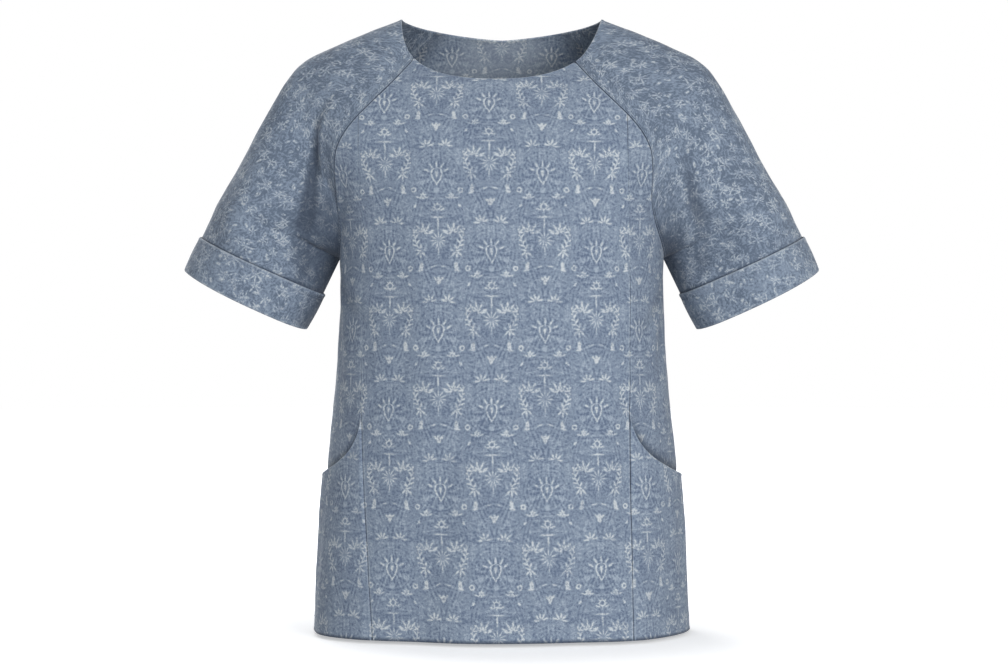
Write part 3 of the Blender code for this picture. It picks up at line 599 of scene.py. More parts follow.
class Sheet:
    """One cut piece: its middle surface, its place in the print, and what its edges are."""

    def __init__(self, points, uv, out=1):
        self.points = points
        self.uv = uv
        self.normals = surface_normals(points) * out
        self.left = run(points, 1)
        self.right = self.left[:, -1:] - self.left
        self.first = run(points, 0)
        self.last = self.first[-1:] - self.first
        self.seam_shade = SEAM_SHADE
        self.seam = np.full(points.shape[:2], FAR)
        self.free = np.full(points.shape[:2], FAR)
        self.welt = np.full(points.shape[:2], FAR)
        self.thick = np.zeros(points.shape[:2])
        self.painted_shade = np.zeros(points.shape[:2])
        self.inside = np.full(points.shape[:2], INSIDE_PALER)

    def press(self, move):
        """Moves the cloth out along its own normals."""
        self.points = self.points + self.normals * move[..., None]
        normals = surface_normals(self.points)
        self.normals = normals * np.sign((normals * self.normals).sum(-1, keepdims=True))

    def crease(self, pressed, uneven):
        """Presses creases in, with the cloth's unevenness, and paints shade into their troughs."""
        self.press(pressed + uneven)
        self.painted_shade += TROUGH_SHADE * np.clip(pressed, -DEEPEST_SHADE, 0)

    def sew(self, distance):
        """An edge that is sewn to another piece."""
        self.seam = np.minimum(self.seam, distance + SEAM_SHARE)

    def stitch_down(self, distance):
        """A seam whose allowance is stitched down on this side."""
        self.sew(distance)
        self.welt = np.minimum(self.welt, distance + SEAM_SHARE)

    def finish_edge(self, distance):
        """A turned edge that belongs to this piece alone."""
        self.free = np.minimum(self.free, distance)

    def skins(self):
        """Points of the outer and inner faces."""
        seam_roll = np.sqrt(1 - (1 - np.clip(self.seam / SEAM_ROLL, 0, 1)) ** 2)
        edge_roll = np.sqrt(1 - (1 - np.clip(self.free / EDGE_ROLL, 0, 1)) ** 2)
        bead = EDGE_BEAD * bell(self.free, EDGE_BEAD_AT, 0.0016)
        allowance = ALLOWANCE * smoothstep((ALLOWANCE_WIDTH - self.welt) / 0.0025) * (self.welt < FAR / 2)
        sunk = STITCH_SINK * bell(self.welt, TOPSTITCH, 0.0006)
        outer = (HALF_CLOTH + bead + self.thick + allowance - sunk) * edge_roll
        outer = outer * (0.4 + 0.6 * seam_roll)
        inner = (HALF_CLOTH + bead) * edge_roll
        return self.points + self.normals * outer[..., None], self.points - self.normals * inner[..., None]

    def shade(self):
        """Where wear and painted highlights lighten the cloth (above 0) and where painted shade darkens it
        (below 0).
        """
        # painted shade in the seam's groove, wear with a painted highlight on the ridge beside it and along a
        # turned edge, and painted shade in the stitches' groove
        dark = -self.seam_shade * bell(self.seam, 0, 0.0003 + 0.0008 * self.seam_shade)
        light = 0.7 * bell(self.seam, 0.0016, 0.0007)
        worn = 0.9 * bell(self.free, 0, 0.0014)
        sunk = -0.6 * bell(self.welt, TOPSTITCH + 0.0005, 0.0006)
        return dark + light + worn + sunk + self.painted_shade

    def build(self, name, cloth):
        """The shell as one closed mesh, with the print's map, and its wear, painted highlights and painted
        shade.
        """
        outer, inner = self.skins()
        rows, columns = outer.shape[:2]
        count = rows * columns
        index = np.arange(count).reshape(rows, columns)
        a, b, c, d = (index[:-1, :-1], index[:-1, 1:], index[1:, 1:], index[1:, :-1])
        quads = np.stack([a, b, c, d], axis=-1).reshape(-1, 4)
        rim = np.concatenate([index[0], index[1:, -1], index[-1, -2::-1], index[-2:0:-1, 0]])
        ahead = np.roll(rim, -1)
        walls = np.stack([ahead, rim, rim + count, ahead + count], axis=-1)
        faces = np.concatenate([quads, quads[:, ::-1] + count, walls])
        facing = np.cross(outer[1, 1] - outer[0, 0], outer[1, 0] - outer[0, 1])
        if facing @ self.normals[0, 0] < 0:
            faces = faces[:, ::-1]
        points = np.concatenate([outer.reshape(-1, 3), inner.reshape(-1, 3)])
        mesh = new_mesh(name, points, faces)
        put_map(mesh, "cloth", np.concatenate([self.uv.reshape(-1, 2)] * 2))
        put_map(mesh, "OFBake", self.sheet_map())
        put_shade(mesh, np.concatenate([self.shade().ravel(), self.inside.ravel()]))
        return finish_mesh(name, mesh, cloth)

    def sheet_map(self):
        """Both faces laid side by side in one square."""
        low, high = self.uv.min((0, 1)), self.uv.max((0, 1))
        face = ((self.uv - low) / (high - low)).reshape(-1, 2) * (0.48, 0.98) + 0.01
        return np.concatenate([face, face + (0.5, 0)])

    def area(self):
        """Of the cut, measured on the cloth's own map."""
        u, v = self.uv[..., 0], self.uv[..., 1]
        du, dv = np.diff(u, axis=1)[:-1], np.diff(v, axis=0)[:, :-1]
        cross = du * dv - np.diff(v, axis=1)[:-1] * np.diff(u, axis=0)[:, :-1]
        return float(np.abs(cross).sum())

    def path(self, row=slice(None), column=slice(None)):
        """Points and normals of the outer face along one grid line."""
        return self.skins()[0][row, column], self.normals[row, column]


def new_mesh(name, points, faces):
    mesh = bpy.data.meshes.new(name)
    mesh.from_pydata(np.asarray(points).tolist(), [], np.asarray(faces).tolist())
    return mesh


def put_shade(mesh, values):
    """Stores the wear, painted highlights and painted shade that the cotton reads."""
    shade = mesh.attributes.new("shade", "FLOAT", "POINT")
    shade.data.foreach_set("value", values.astype(np.float32))


def put_map(mesh, name, uv):
    layer = mesh.uv_layers.new(name=name)
    corners = np.zeros(len(mesh.loops), np.int32)
    mesh.loops.foreach_get("vertex_index", corners)
    layer.data.foreach_set("uv", uv[corners].astype(np.float32).ravel())


def put_object(name, data):
    made = bpy.data.objects.new(name, data)
    bpy.context.scene.collection.objects.link(made)
    return made


def finish_mesh(name, mesh, cloth):
    mesh.materials.append(cloth)
    mesh.shade_smooth()
    piece = put_object(name, mesh)
    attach(piece, "root")
    return piece


# The print's place on the body: lengths round the form at each height

PRINT_SHIFT = 0.004          # how far round and up the cloth the print is moved
PRINT_RISE = 0.0172
PRINT_UNITS = 1020.0         # of the print to a metre of cloth
GIRTH_Z = np.linspace(HEM_Z, 0, 90)
GIRTH_DEGREES = np.linspace(-200, 200, 801)
GIRTH = run(body_point(GIRTH_DEGREES[None, :], GIRTH_Z[:, None]), 1)


def girth(degrees, z):
    """Length round the body from the middle of the front."""
    row = np.interp(z, GIRTH_Z, np.arange(len(GIRTH_Z)))
    column = np.interp(degrees, GIRTH_DEGREES, np.arange(len(GIRTH_DEGREES)))
    r, c = (np.minimum(x.astype(int), n - 2) for x, n in zip((row, column), GIRTH.shape))
    fr, fc = row - r, column - c
    at = GIRTH[r, c] * (1 - fr) * (1 - fc) + GIRTH[r + 1, c] * fr * (1 - fc)
    at = at + GIRTH[r, c + 1] * (1 - fr) * fc + GIRTH[r + 1, c + 1] * fr * fc
    middle = np.interp(z, GIRTH_Z, GIRTH[:, len(GIRTH_DEGREES) // 2])
    return at - middle


def print_height(z):
    """Length up the cloth of the front, which the whole body's print keeps to."""
    slope = np.gradient(read(BODY, "front", GIRTH_Z), GIRTH_Z)
    rise = np.concatenate([[0], np.cumsum(np.hypot(1, slope[1:]) * np.diff(GIRTH_Z))])
    return np.interp(z, GIRTH_Z, rise) + PRINT_RISE


def body_map(degrees, z):
    """Places in the print: round the body from its hanging middle line, and up the cloth."""
    lean = FRONT_TWIST * read(PRINCESS, "twist", z) + PRINT_SHIFT
    return np.stack([girth(degrees, z) + lean, print_height(z)], axis=-1)


# The pieces

def panel(tops, left, right, columns, rises):
    """Angles and heights of a body panel from the hem up to its top edge."""
    top_degrees, top_z = (line[None, :] for line in tops)
    even = columns[None, :]
    width = right(top_z) - left(top_z)
    spread = (top_degrees - left(top_z)) / np.where(width == 0, 1, width)
    at_top = np.where(np.abs(width) > 1e-9, spread, even)
    rise = rises[:, None]
    across = even + (at_top - even) * rise
    z = HEM_Z + (top_z - HEM_Z) * rise
    return left(z) + (right(z) - left(z)) * across, z


def body_sheet(degrees, z, out=1):
    sheet = Sheet(body_point(degrees, z), body_map(degrees, z), out)
    crease_body(sheet, degrees, z, smoothstep(sheet.last / CALM))
    return sheet


def crease_body(sheet, degrees, z, calm):
    sheet.crease(body_creases(degrees, z) * calm, body_wander(degrees, z) * calm)


def flat_seam(side, z):
    """Extra distance that hides the vertical front seams where they lie flat, high on the chest."""
    return FLAT_HIDES * smoothstep((z - FLAT_FROM_Z[side]) / FLAT_OVER)


def hem(sheet):
    sheet.finish_edge(sheet.first)
    sheet.thick = sheet.thick + HEM_TURN * smoothstep((HEM_DEPTH + 0.0008 - sheet.first) / 0.0016)
    # painted shade along the hem's lowest edge
    sheet.painted_shade -= HEM_SHADE * bell(sheet.first, 0, HEM_SHADE_REACH)


def centre_front():
    columns = divide(*FRONT_ACROSS, SEAM_LINES, SEAM_LINES)
    rises = divide(*FRONT_UP, HEM_LINES, SEAM_LINES)
    last = 2 * RAGLAN_COLUMNS + NECK_COLUMNS
    place = columns * last
    past_seams = (RAGLAN_COLUMNS - place, place - last + RAGLAN_COLUMNS)
    left_step, right_step = (np.clip(past, 0, None) / RAGLAN_STEPS for past in past_seams)
    left_seam = front_raglan(-1, front_share(-1, left_step))
    right_seam = front_raglan(1, front_share(1, right_step))
    corners = [neck_corner(side)[0] for side in (-1, 1)]
    neck = front_neck(np.interp(place, (RAGLAN_COLUMNS, last - RAGLAN_COLUMNS), corners))
    on_left, on_right = place < RAGLAN_COLUMNS, place > last - RAGLAN_COLUMNS
    tops = [np.where(on_left, l, np.where(on_right, r, n)) for l, r, n in zip(left_seam, right_seam, neck)]
    grid = panel(tops, lambda z: princess_degrees(-1, z), lambda z: princess_degrees(1, z), columns, rises)
    sheet = body_sheet(*grid)
    at_neck = ~(on_left | on_right)[None, :] & np.ones(grid[0].shape, bool)
    sheet.sew(np.minimum(sheet.left + flat_seam(-1, grid[1]), sheet.right + flat_seam(1, grid[1])))
    sheet.sew(np.where(at_neck, FAR, sheet.last))
    sheet.finish_edge(np.where(at_neck, sheet.last, FAR))
    hem(sheet)
    return sheet


def side_front(side):
    columns = divide(*SIDE_ACROSS, SEAM_LINES, SEAM_LINES)
    rises = divide(*SIDE_UP, HEM_LINES, SEAM_LINES)
    steps = (RAGLAN_COLUMNS + columns * SIDE_COLUMNS) / RAGLAN_STEPS
    tops = front_raglan(side, front_share(side, steps))
    inner, outer = (lambda z: princess_degrees(side, z)), (lambda z: side_degrees(side, z))
    degrees, z = panel(tops, inner, outer, columns, rises)
    sheet = body_sheet(degrees, z, side)
    # under the pocket the panel gives way at the pocket's seams and falls back behind its mouth
    start, end = inner(z), outer(z)
    mouth = pocket_mouth(np.clip((degrees - start) / (end - start), 0, 1))
    covered = smoothstep((mouth + 0.012 - z) / 0.03)
    to_princess, to_side = sheet.left, sheet.right
    near = 1 - smoothstep(np.minimum(to_princess, to_side) / POCKET_SEAM)
    behind = smoothstep((mouth + 0.010 - z) / 0.02) * smoothstep((z - HEM_Z) / 0.15)
    sheet.press(-POCKET_SEAM_GIVES * covered * near - POCKET_RECESS * behind * (1 - near))
    above = np.clip(z - mouth, 0, None)
    # painted shadow just above the pocket's mouth, weaker beside its seams
    sheet.painted_shade -= np.exp(-(above / POCKET_SHADOW) ** 1.4) * (z > mouth - 0.02) * (1 - 0.5 * near)
    # painted shade over the whole side front, on the wearer's left only
    sheet.painted_shade -= SIDE_SHADE[side]
    sheet.sew(np.minimum(np.minimum(to_princess + flat_seam(side, z), to_side), sheet.last))
    hem(sheet)
    return sheet


def back():
    columns = divide(*BACK_ACROSS, SEAM_LINES, SEAM_LINES) * 2 - 1
    below = divide(*BACK_UP, HEM_LINES, FREE_LINES[:1])
    heights = HEM_Z + (UNDERARM_Z - HEM_Z) * below
    above = 1 - divide(*BACK_ABOVE, FREE_LINES[:1], FREE_LINES)[1:]
    seam_degrees, seam_z = back_raglan(1, above)
    edge_degrees = np.concatenate([side_degrees(1, heights), seam_degrees])
    edge_z = np.concatenate([heights, seam_z])
    rise = np.concatenate([0 * heights, 1 - above])
    corner_degrees, corner_z = back_raglan(1, 0.0)
    neck_x = np.linspace(0, BACK_CORNER_X, 200)
    neck_degrees, neck_height = back_neck(neck_x)
    dip = np.interp((180 - corner_degrees) * np.abs(columns), 180 - neck_degrees, neck_height) - corner_z
    degrees = 180 + (180 - edge_degrees[:, None]) * columns[None, :]
    z = edge_z[:, None] + dip[None, :] * rise[:, None] ** 2
    # the back's print is laid out from its own middle, the same to both sides
    past_middle = degrees > 180
    from_middle = girth(180, z) - girth(np.where(past_middle, 360 - degrees, degrees), z)
    uv = np.stack([np.where(past_middle, -1, 1) * from_middle, print_height(z)], axis=-1)
    sheet = Sheet(body_point(degrees, z), uv)
    to_side = np.minimum(sheet.left, sheet.right)
    on_raglan = (rise > 0)[:, None]
    calm = np.where(on_raglan, smoothstep(to_side / CALM), 1) * smoothstep(sheet.last / NECK_CALM)
    crease_body(sheet, degrees, z, calm)
    # painted shade on the inner face beside the raglan seams
    sheet.inside -= 1.1 * bell(to_side, 0, 0.030) * on_raglan
    sheet.sew(to_side)
    sheet.finish_edge(sheet.last)
    hem(sheet)
    return sheet


def sleeve(side):
    turns = divide(*SLEEVE_ACROSS, SEAM_LINES, SEAM_LINES) * 2 - 1
    steps = divide(*SLEEVE_DOWN, FREE_LINES, FREE_LINES[:1])
    rings = np.linspace(0, 1, SLEEVE_RINGS)[1:]
    upper = upper_sleeve(side, steps, turns)
    lower = lower_sleeve(side, rings, turns)
    points = np.concatenate([upper, lower])
    along = np.concatenate([front_share(side, steps), 1 + rings * RING_STRETCH])
    middle = np.argmin(np.abs(turns))
    length = run(points, 0)
    underarm = len(steps) - 1
    down = length - length[underarm] + length[underarm, middle]
    width = run(points, 1)
    uv = np.stack([(width - width[:, middle:middle + 1]) * side, -down], axis=-1)
    sheet = Sheet(points, uv, out=-side)
    to_side = np.minimum(sheet.left, sheet.right)
    along = along[:, None]
    calm = smoothstep(to_side / SLEEVE_CALM) * smoothstep(sheet.first / NECK_CALM)
    calm = calm * smoothstep((CALM_END - along) / 0.1)
    uneven = soft_wander(turns[None, :] * HALF_SLEEVE_CLOTH, along * SLEEVE_LENGTH, 1.3 + side)
    sheet.crease(sleeve_creases(side, turns[None, :] * 180, along) * calm, uneven * calm)
    open_rows = along < 1
    sheet.seam_shade = SLEEVE_SEAM_SHADE
    sheet.stitch_down(np.where(open_rows, to_side, FAR))
    sheet.sew(np.where(open_rows, FAR, to_side))
    sheet.finish_edge(np.minimum(sheet.first, sheet.last))
    # painted shade over the sleeve's inner face
    sheet.inside -= INSIDE_SLEEVE_SHADE
    shade_sleeve(sheet, side, along, to_side)
    return sheet, open_rows[:, 0]


def shade_sleeve(sheet, side, along, to_side):
    """Paints shade on a sleeve at its cuff, in the crook beside the body, along its lower raglan seams and at
    the foot of the armhole.
    """
    start, end = sleeve_axis()
    above_cuff = (1 + CUFF_TOP * RING_STRETCH - along) / RING_STRETCH * np.linalg.norm(end - start)
    sheet.painted_shade -= CUFF_LINE_SHADE * bell(above_cuff, 0.0002, 0.0018)
    crook = smoothstep((along - 0.30) / 0.5) * (1 - 0.6 * (side > 0) * smoothstep((along - 1.05) / 0.3))
    sheet.painted_shade -= CROOK_SHADE[side] * crook * bell(to_side, *CROOK_BAND[side])
    seam_rows = (along < 1) * smoothstep((along - 0.62) / 0.25)
    sheet.painted_shade -= 0.8 * seam_rows * bell(to_side, 0, 0.006)
    sheet.painted_shade -= NOTCH_SHADE[side] * np.exp(-((along - 0.94) / 0.13) ** 2 - (to_side / 0.016) ** 2)


def pocket_mouth(across):
    """Height of a pocket's scooped mouth, with its outer corner rounded off."""
    corner = np.clip(1 - (1 - across) * POCKET_WIDTH / POCKET_CORNER, 0, 0.95)
    scoop = POCKET_TOP_Z - POCKET_DROP * (1 - (1 - across ** 0.5) ** 2)
    return scoop - POCKET_CORNER * (1 - np.sqrt(1 - corner ** 2))


def pocket(side):
    across = divide(*POCKET_ACROSS, SEAM_LINES, SEAM_LINES)
    rises = divide(*POCKET_UP, HEM_LINES, FREE_LINES)[:, None]
    mouth = pocket_mouth(across)[None, :]
    z = HEM_Z + (mouth - HEM_Z) * rises
    stand = POCKET_GAPE * np.minimum(across / POCKET_CROWN, 1) ** 0.7 * (1 - across ** 7)
    stand = stand * (POCKET_GAPE_AT_HEM + (1 - POCKET_GAPE_AT_HEM) * smoothstep(rises))
    start, end = princess_degrees(side, z), side_degrees(side, z)
    degrees = start + (end - start) * across
    flat = Sheet(body_point(degrees, z), body_map(degrees, z))
    near = smoothstep(np.minimum(flat.left, flat.right) / POCKET_SEAM)
    lift = POCKET_LIE + near * (2 * HALF_CLOTH + LAYER_GAP - POCKET_LIE) + stand
    sheet = Sheet(body_point(degrees, z, lift), body_map(degrees, z), side)
    sheet.press(body_creases(degrees, z) * near + body_wander(degrees, z))
    sheet.sew(np.minimum(sheet.left, sheet.right))
    sheet.finish_edge(sheet.last)
    hem(sheet)
    return sheet


def cuff_section(height):
    """The turn-up's closed outline: places past the sleeve's end, and how far each stands out."""
    tall = height * 1000
    stitched = CUFF_STITCH * 1000
    outer_up = np.linspace(0.0, 1.0, 26)
    top_turn = np.linspace(0, pi, 7)[1:-1]
    fold_turn = np.linspace(0, pi / 2, 8)
    past, out = [], []

    def corner(distance, stand):
        past.append(distance / 1000)
        out.append(stand / 1000)

    # round the fold at the sleeve's end, up the outside, over the top and down the inside
    for turn in fold_turn:
        corner(0.4 + 1.2 * sin(turn), -0.6 + 1.2 * (1 - cos(turn)) + 0.3 * turn)
    for turn in fold_turn[1:]:
        corner(1.6 - 2.0 * (1 - cos(turn)), 1.1 + 1.1 * sin(turn))
    for up in outer_up[1:]:
        place = -0.4 - (tall - 1.0) * up
        bulge = 0.7 * sin(pi * up) + 0.55 * up
        edge = 0.45 * bell(tall + place, 2.0, 1.6)
        groove = 0.30 * bell(tall + place, stitched, 0.7)
        corner(place, 2.2 + bulge + edge - groove)
    for turn in top_turn:
        corner(-tall + 0.6 - 0.75 * sin(turn), 2.75 - 0.62 * (1 - cos(turn)))
    for up in outer_up[::-1][1:]:
        corner(-0.4 - (tall - 1.0) * up, 1.05 + 0.6 * sin(pi * up) + 0.45 * up)
    corner(0.4, 0.9)
    return np.array(past), np.array(out)


def cuff(side):
    """The turned-up end of a sleeve: its rounded section swept round the sleeve's rings."""
    start, end = sleeve_axis()
    length = np.linalg.norm(end - start)
    height = length * (1 - CUFF_TOP)
    past, out = cuff_section(height)
    turns = np.linspace(-1, 1, CUFF_TURNS)
    rings = lower_sleeve(side, 1 + past / length, turns)[:, :-1]
    middle = rings.mean(axis=1, keepdims=True)
    tangent = unit(np.roll(rings, -1, axis=1) - np.roll(rings, 1, axis=1))
    radial = rings - middle
    radial = unit(radial - tangent * (radial * tangent).sum(-1, keepdims=True))
    angle = turns[:-1] * pi
    sway = 0.00035 * np.sin(3 * angle + side) + 0.00022 * np.sin(7 * angle + 2 * side)
    to_seam = (pi - np.abs(angle)) * SLEEVE_HALF_WIDTH
    seam_dip = CUFF_SEAM_DIP * bell(to_seam, 0, CUFF_SEAM_WIDTH)
    lift = np.clip(-past / height, 0, 1)[:, None]
    outside = (out > 0.0019)[:, None]
    move = out[:, None] + sway * lift * (out > 0.0009)[:, None] - seam_dip * outside
    points = rings + radial * move[..., None]
    count, around = points.shape[:2]
    index = np.arange(count * around).reshape(count, around)
    ahead = np.roll(index, -1, axis=0)
    quads = np.stack([index, np.roll(index, -1, 1), np.roll(ahead, -1, 1), ahead], -1).reshape(-1, 4)
    if side < 0:
        quads = quads[:, ::-1]
    mesh = new_mesh("cuff", points.reshape(-1, 3), quads)
    walked = run(rings, 1)
    u = walked - walked[:, around // 2:around // 2 + 1]
    section = np.concatenate([[0], np.cumsum(np.hypot(np.diff(past), np.diff(out)))])
    uv = np.stack(np.broadcast_arrays(u * side, section[:, None]), axis=-1) + CUFF_PRINT
    put_map(mesh, "cloth", uv.reshape(-1, 2))
    from_top = height + past
    # wear with painted highlights at the upper edge and the fold; painted shade in the stitches' groove, over
    # the inner face, at the cuff's seam and on the side towards the body
    wear_and_painted_light = 0.9 * bell(from_top, 0, 0.0016) + 0.5 * bell(past, 0.001, 0.0016)
    wear_and_painted_light = wear_and_painted_light - 0.4 * bell(from_top, CUFF_STITCH, 0.0007)
    wear_and_painted_light = np.where(outside, wear_and_painted_light[:, None], -0.3) - seam_dip * outside / 0.0012
    wear_and_painted_light = wear_and_painted_light - CUFF_SHADE[side] * outside * bell(to_seam, 0.012, 0.032)
    put_shade(mesh, wear_and_painted_light.ravel())
    stitched = np.argmin(np.abs(from_top - CUFF_STITCH) + (~outside[:, 0]))
    return mesh, points[stitched], radial[stitched], (float(walked[:, -1].max()), float(height))


# Stitches

def bead():
    """One stitch: a short thread that dives into the cloth at both ends."""
    around = np.arange(5) * 2 * pi / 5
    points = [(-0.5, 0, -0.9)]
    for along, sink, size in ((-0.36, -0.15, 0.8), (0.0, 0.25, 1.0), (0.36, -0.15, 0.8)):
        points += [(along, size * cos(a), size * sin(a) + sink) for a in around]
    points.append((0.5, 0, -0.9))
    faces = []
    for k in range(5):
        n = (k + 1) % 5
        faces.append((0, 1 + n, 1 + k))
        for ring in (1, 6):
            faces += [(ring + k, ring + n, ring + n + 5), (ring + k, ring + n + 5, ring + k + 5)]
        faces.append((11 + k, 11 + n, 16))
    return np.array(points, float), np.array(faces)


def walk_to(places, walked, values):
    """Values read off a path at the given lengths along it."""
    return np.stack([np.interp(places, walked, values[:, k]) for k in range(3)], axis=-1)


def stitches(name, lines, cloth):
    """Rows of stitches along paths on the cloth, all in one mesh."""
    shape, shape_faces = bead()
    points, faces, count = [], [], 0
    for path, normals in lines:
        walked = run(path[:, None], 0)[:, 0]
        places = np.arange(STITCH_PITCH, walked[-1] - STITCH_PITCH, STITCH_PITCH)
        at = walk_to(places, walked, path)
        up = unit(walk_to(places, walked, normals))
        along = unit(walk_to(places + 0.0005, walked, path) - at)
        beside = np.cross(up, along)
        x, y, z = (part[:, None] for part in shape.T)
        made = at[:, None] + along[:, None] * (x * STITCH_LENGTH)
        made = made + beside[:, None] * (y * THREAD) + up[:, None] * (z * THREAD + THREAD * 0.5)
        points.append(made.reshape(-1, 3))
        offsets = count + np.arange(len(places)) * len(shape)
        faces.append((shape_faces[None] + offsets[:, None, None]).reshape(-1, 3))
        count += len(places) * len(shape)
    piece = finish_mesh(name, new_mesh(name, np.concatenate(points), np.concatenate(faces)), cloth)


# Shader maths

class Wire:
    """A socket of numbers; sums and products on it add Math nodes."""

    def __init__(self, shader, socket):
        self.shader = shader
        self.socket = socket

    def math(self, operation, *others, clamp=False):
        return self.shader.number(operation, self, *others, clamp=clamp)

    def __add__(self, other):
        return self.math("ADD", other)

    def __radd__(self, other):
        return self.math("ADD", other)

    def __sub__(self, other):
        return self.math("SUBTRACT", other)

    def __rsub__(self, other):
        return self.shader.number("SUBTRACT", other, self)

    def __mul__(self, other):
        return self.math("MULTIPLY", other)

    def __rmul__(self, other):
        return self.math("MULTIPLY", other)

    def __truediv__(self, other):
        return self.math("DIVIDE", other)

    def __rtruediv__(self, other):
        return self.shader.number("DIVIDE", other, self)

    def __mod__(self, other):
        return self.math("FLOORED_MODULO", other)

    def __abs__(self):
        return self.math("ABSOLUTE")

    def least(self, other):
        return self.math("MINIMUM", other)

    def most(self, other):
        return self.math("MAXIMUM", other)

    def waves(self, pitch):
        """Even lines: 1 on each, at every pitch, and -1 between them."""
        return (self * (2 * pi / pitch)).math("COSINE")


class Shader:
    """Builds one material's nodes."""

    def __init__(self, name):
        self.material = bpy.data.materials.new(name)
        self.material.use_nodes = True
        self.tree = self.material.node_tree
        self.surface = self.tree.nodes["Principled BSDF"]

    def node(self, kind, settings=None, inputs=None, output=0):
        """Any node: its settings first, then the values or links of its sockets."""
        made = self.tree.nodes.new(kind)
        for name, value in (settings or {}).items():
            setattr(made, name, value)
        for name, value in (inputs or {}).items():
            self.feed(made.inputs[name], value)
        return Wire(self, made.outputs[output])

    def feed(self, socket, value):
        if isinstance(value, Wire):
            self.tree.links.new(value.socket, socket)
        else:
            socket.default_value = value

    def number(self, operation, *values, clamp=False):
        settings = {"operation": operation, "use_clamp": clamp}
        return self.node("ShaderNodeMath", settings, dict(enumerate(values)))

    def vector(self, operation, *values, scale=None, output=0):
        inputs = dict(enumerate(values))
        if scale is not None:
            inputs["Scale"] = scale
        return self.node("ShaderNodeVectorMath", {"operation": operation}, inputs, output)

    def parts(self, vector):
        """The first two parts of a vector."""
        first = self.node("ShaderNodeSeparateXYZ", inputs={0: vector})
        return first, Wire(self, first.socket.node.outputs[1])

    def join(self, x, y):
        return self.node("ShaderNodeCombineXYZ", inputs={0: x, 1: y})

    def turned(self, place, angle):
        settings = {"rotation_type": "Z_AXIS"}
        return self.node("ShaderNodeVectorRotate", settings, {"Vector": place, "Angle": angle})

    def nudge(self, chance, reach):
        """A random vector round 0, from one with parts between 0 and 1."""
        return self.vector("SCALE", self.vector("SUBTRACT", chance, (0.5, 0.5, 0.5)), scale=reach)

    def ramp(self, value, start, end, low=0.0, high=1.0):
        """Runs from low to high as the value runs from start to end, smoothly, and stays there."""
        settings = {"interpolation_type": "SMOOTHSTEP"}
        return self.node("ShaderNodeMapRange", settings, {0: value, 1: start, 2: end, 3: low, 4: high})

    def blend(self, share, first, second):
        """Mixes two colours, which are the Mix node's inputs 6 and 7."""
        return self.node("ShaderNodeMix", {"data_type": "RGBA"}, {0: share, 6: first, 7: second}, 2)

    def noise(self, place, scale, detail=2.0, rough=0.5, output=0):
        inputs = {"Vector": place, "Scale": scale, "Detail": detail, "Roughness": rough}
        return self.node("ShaderNodeTexNoise", None, inputs, output)

    def finish(self, looks):
        """Sets or links the surface's sockets."""
        for name, value in looks.items():
            self.feed(self.surface.inputs[name], value)
        return self.material


def srgb(red, green, blue):
    """A colour given as it looks on a screen, from 0 to 255."""
    def linear(value):
        value /= 255
        return value / 12.92 if value <= 0.04045 else ((value + 0.055) / 1.055) ** 2.4
    return (linear(red), linear(green), linear(blue), 1.0)


# The print: ordinary drops, leaves, rings and flowers in a half-drop repeat. Its units are
# PRINT_UNITS to a metre, which is nearly millimetres.

REPEAT = 117.0               # across, between like columns
RISE = 174.0                 # up, from one motif to the same one
COLUMN = REPEAT / 2
STEM = 0.22                  # half the thickness of a twig's stem
LEAF_SLANT = 52              # of a twig's leaves, in degrees


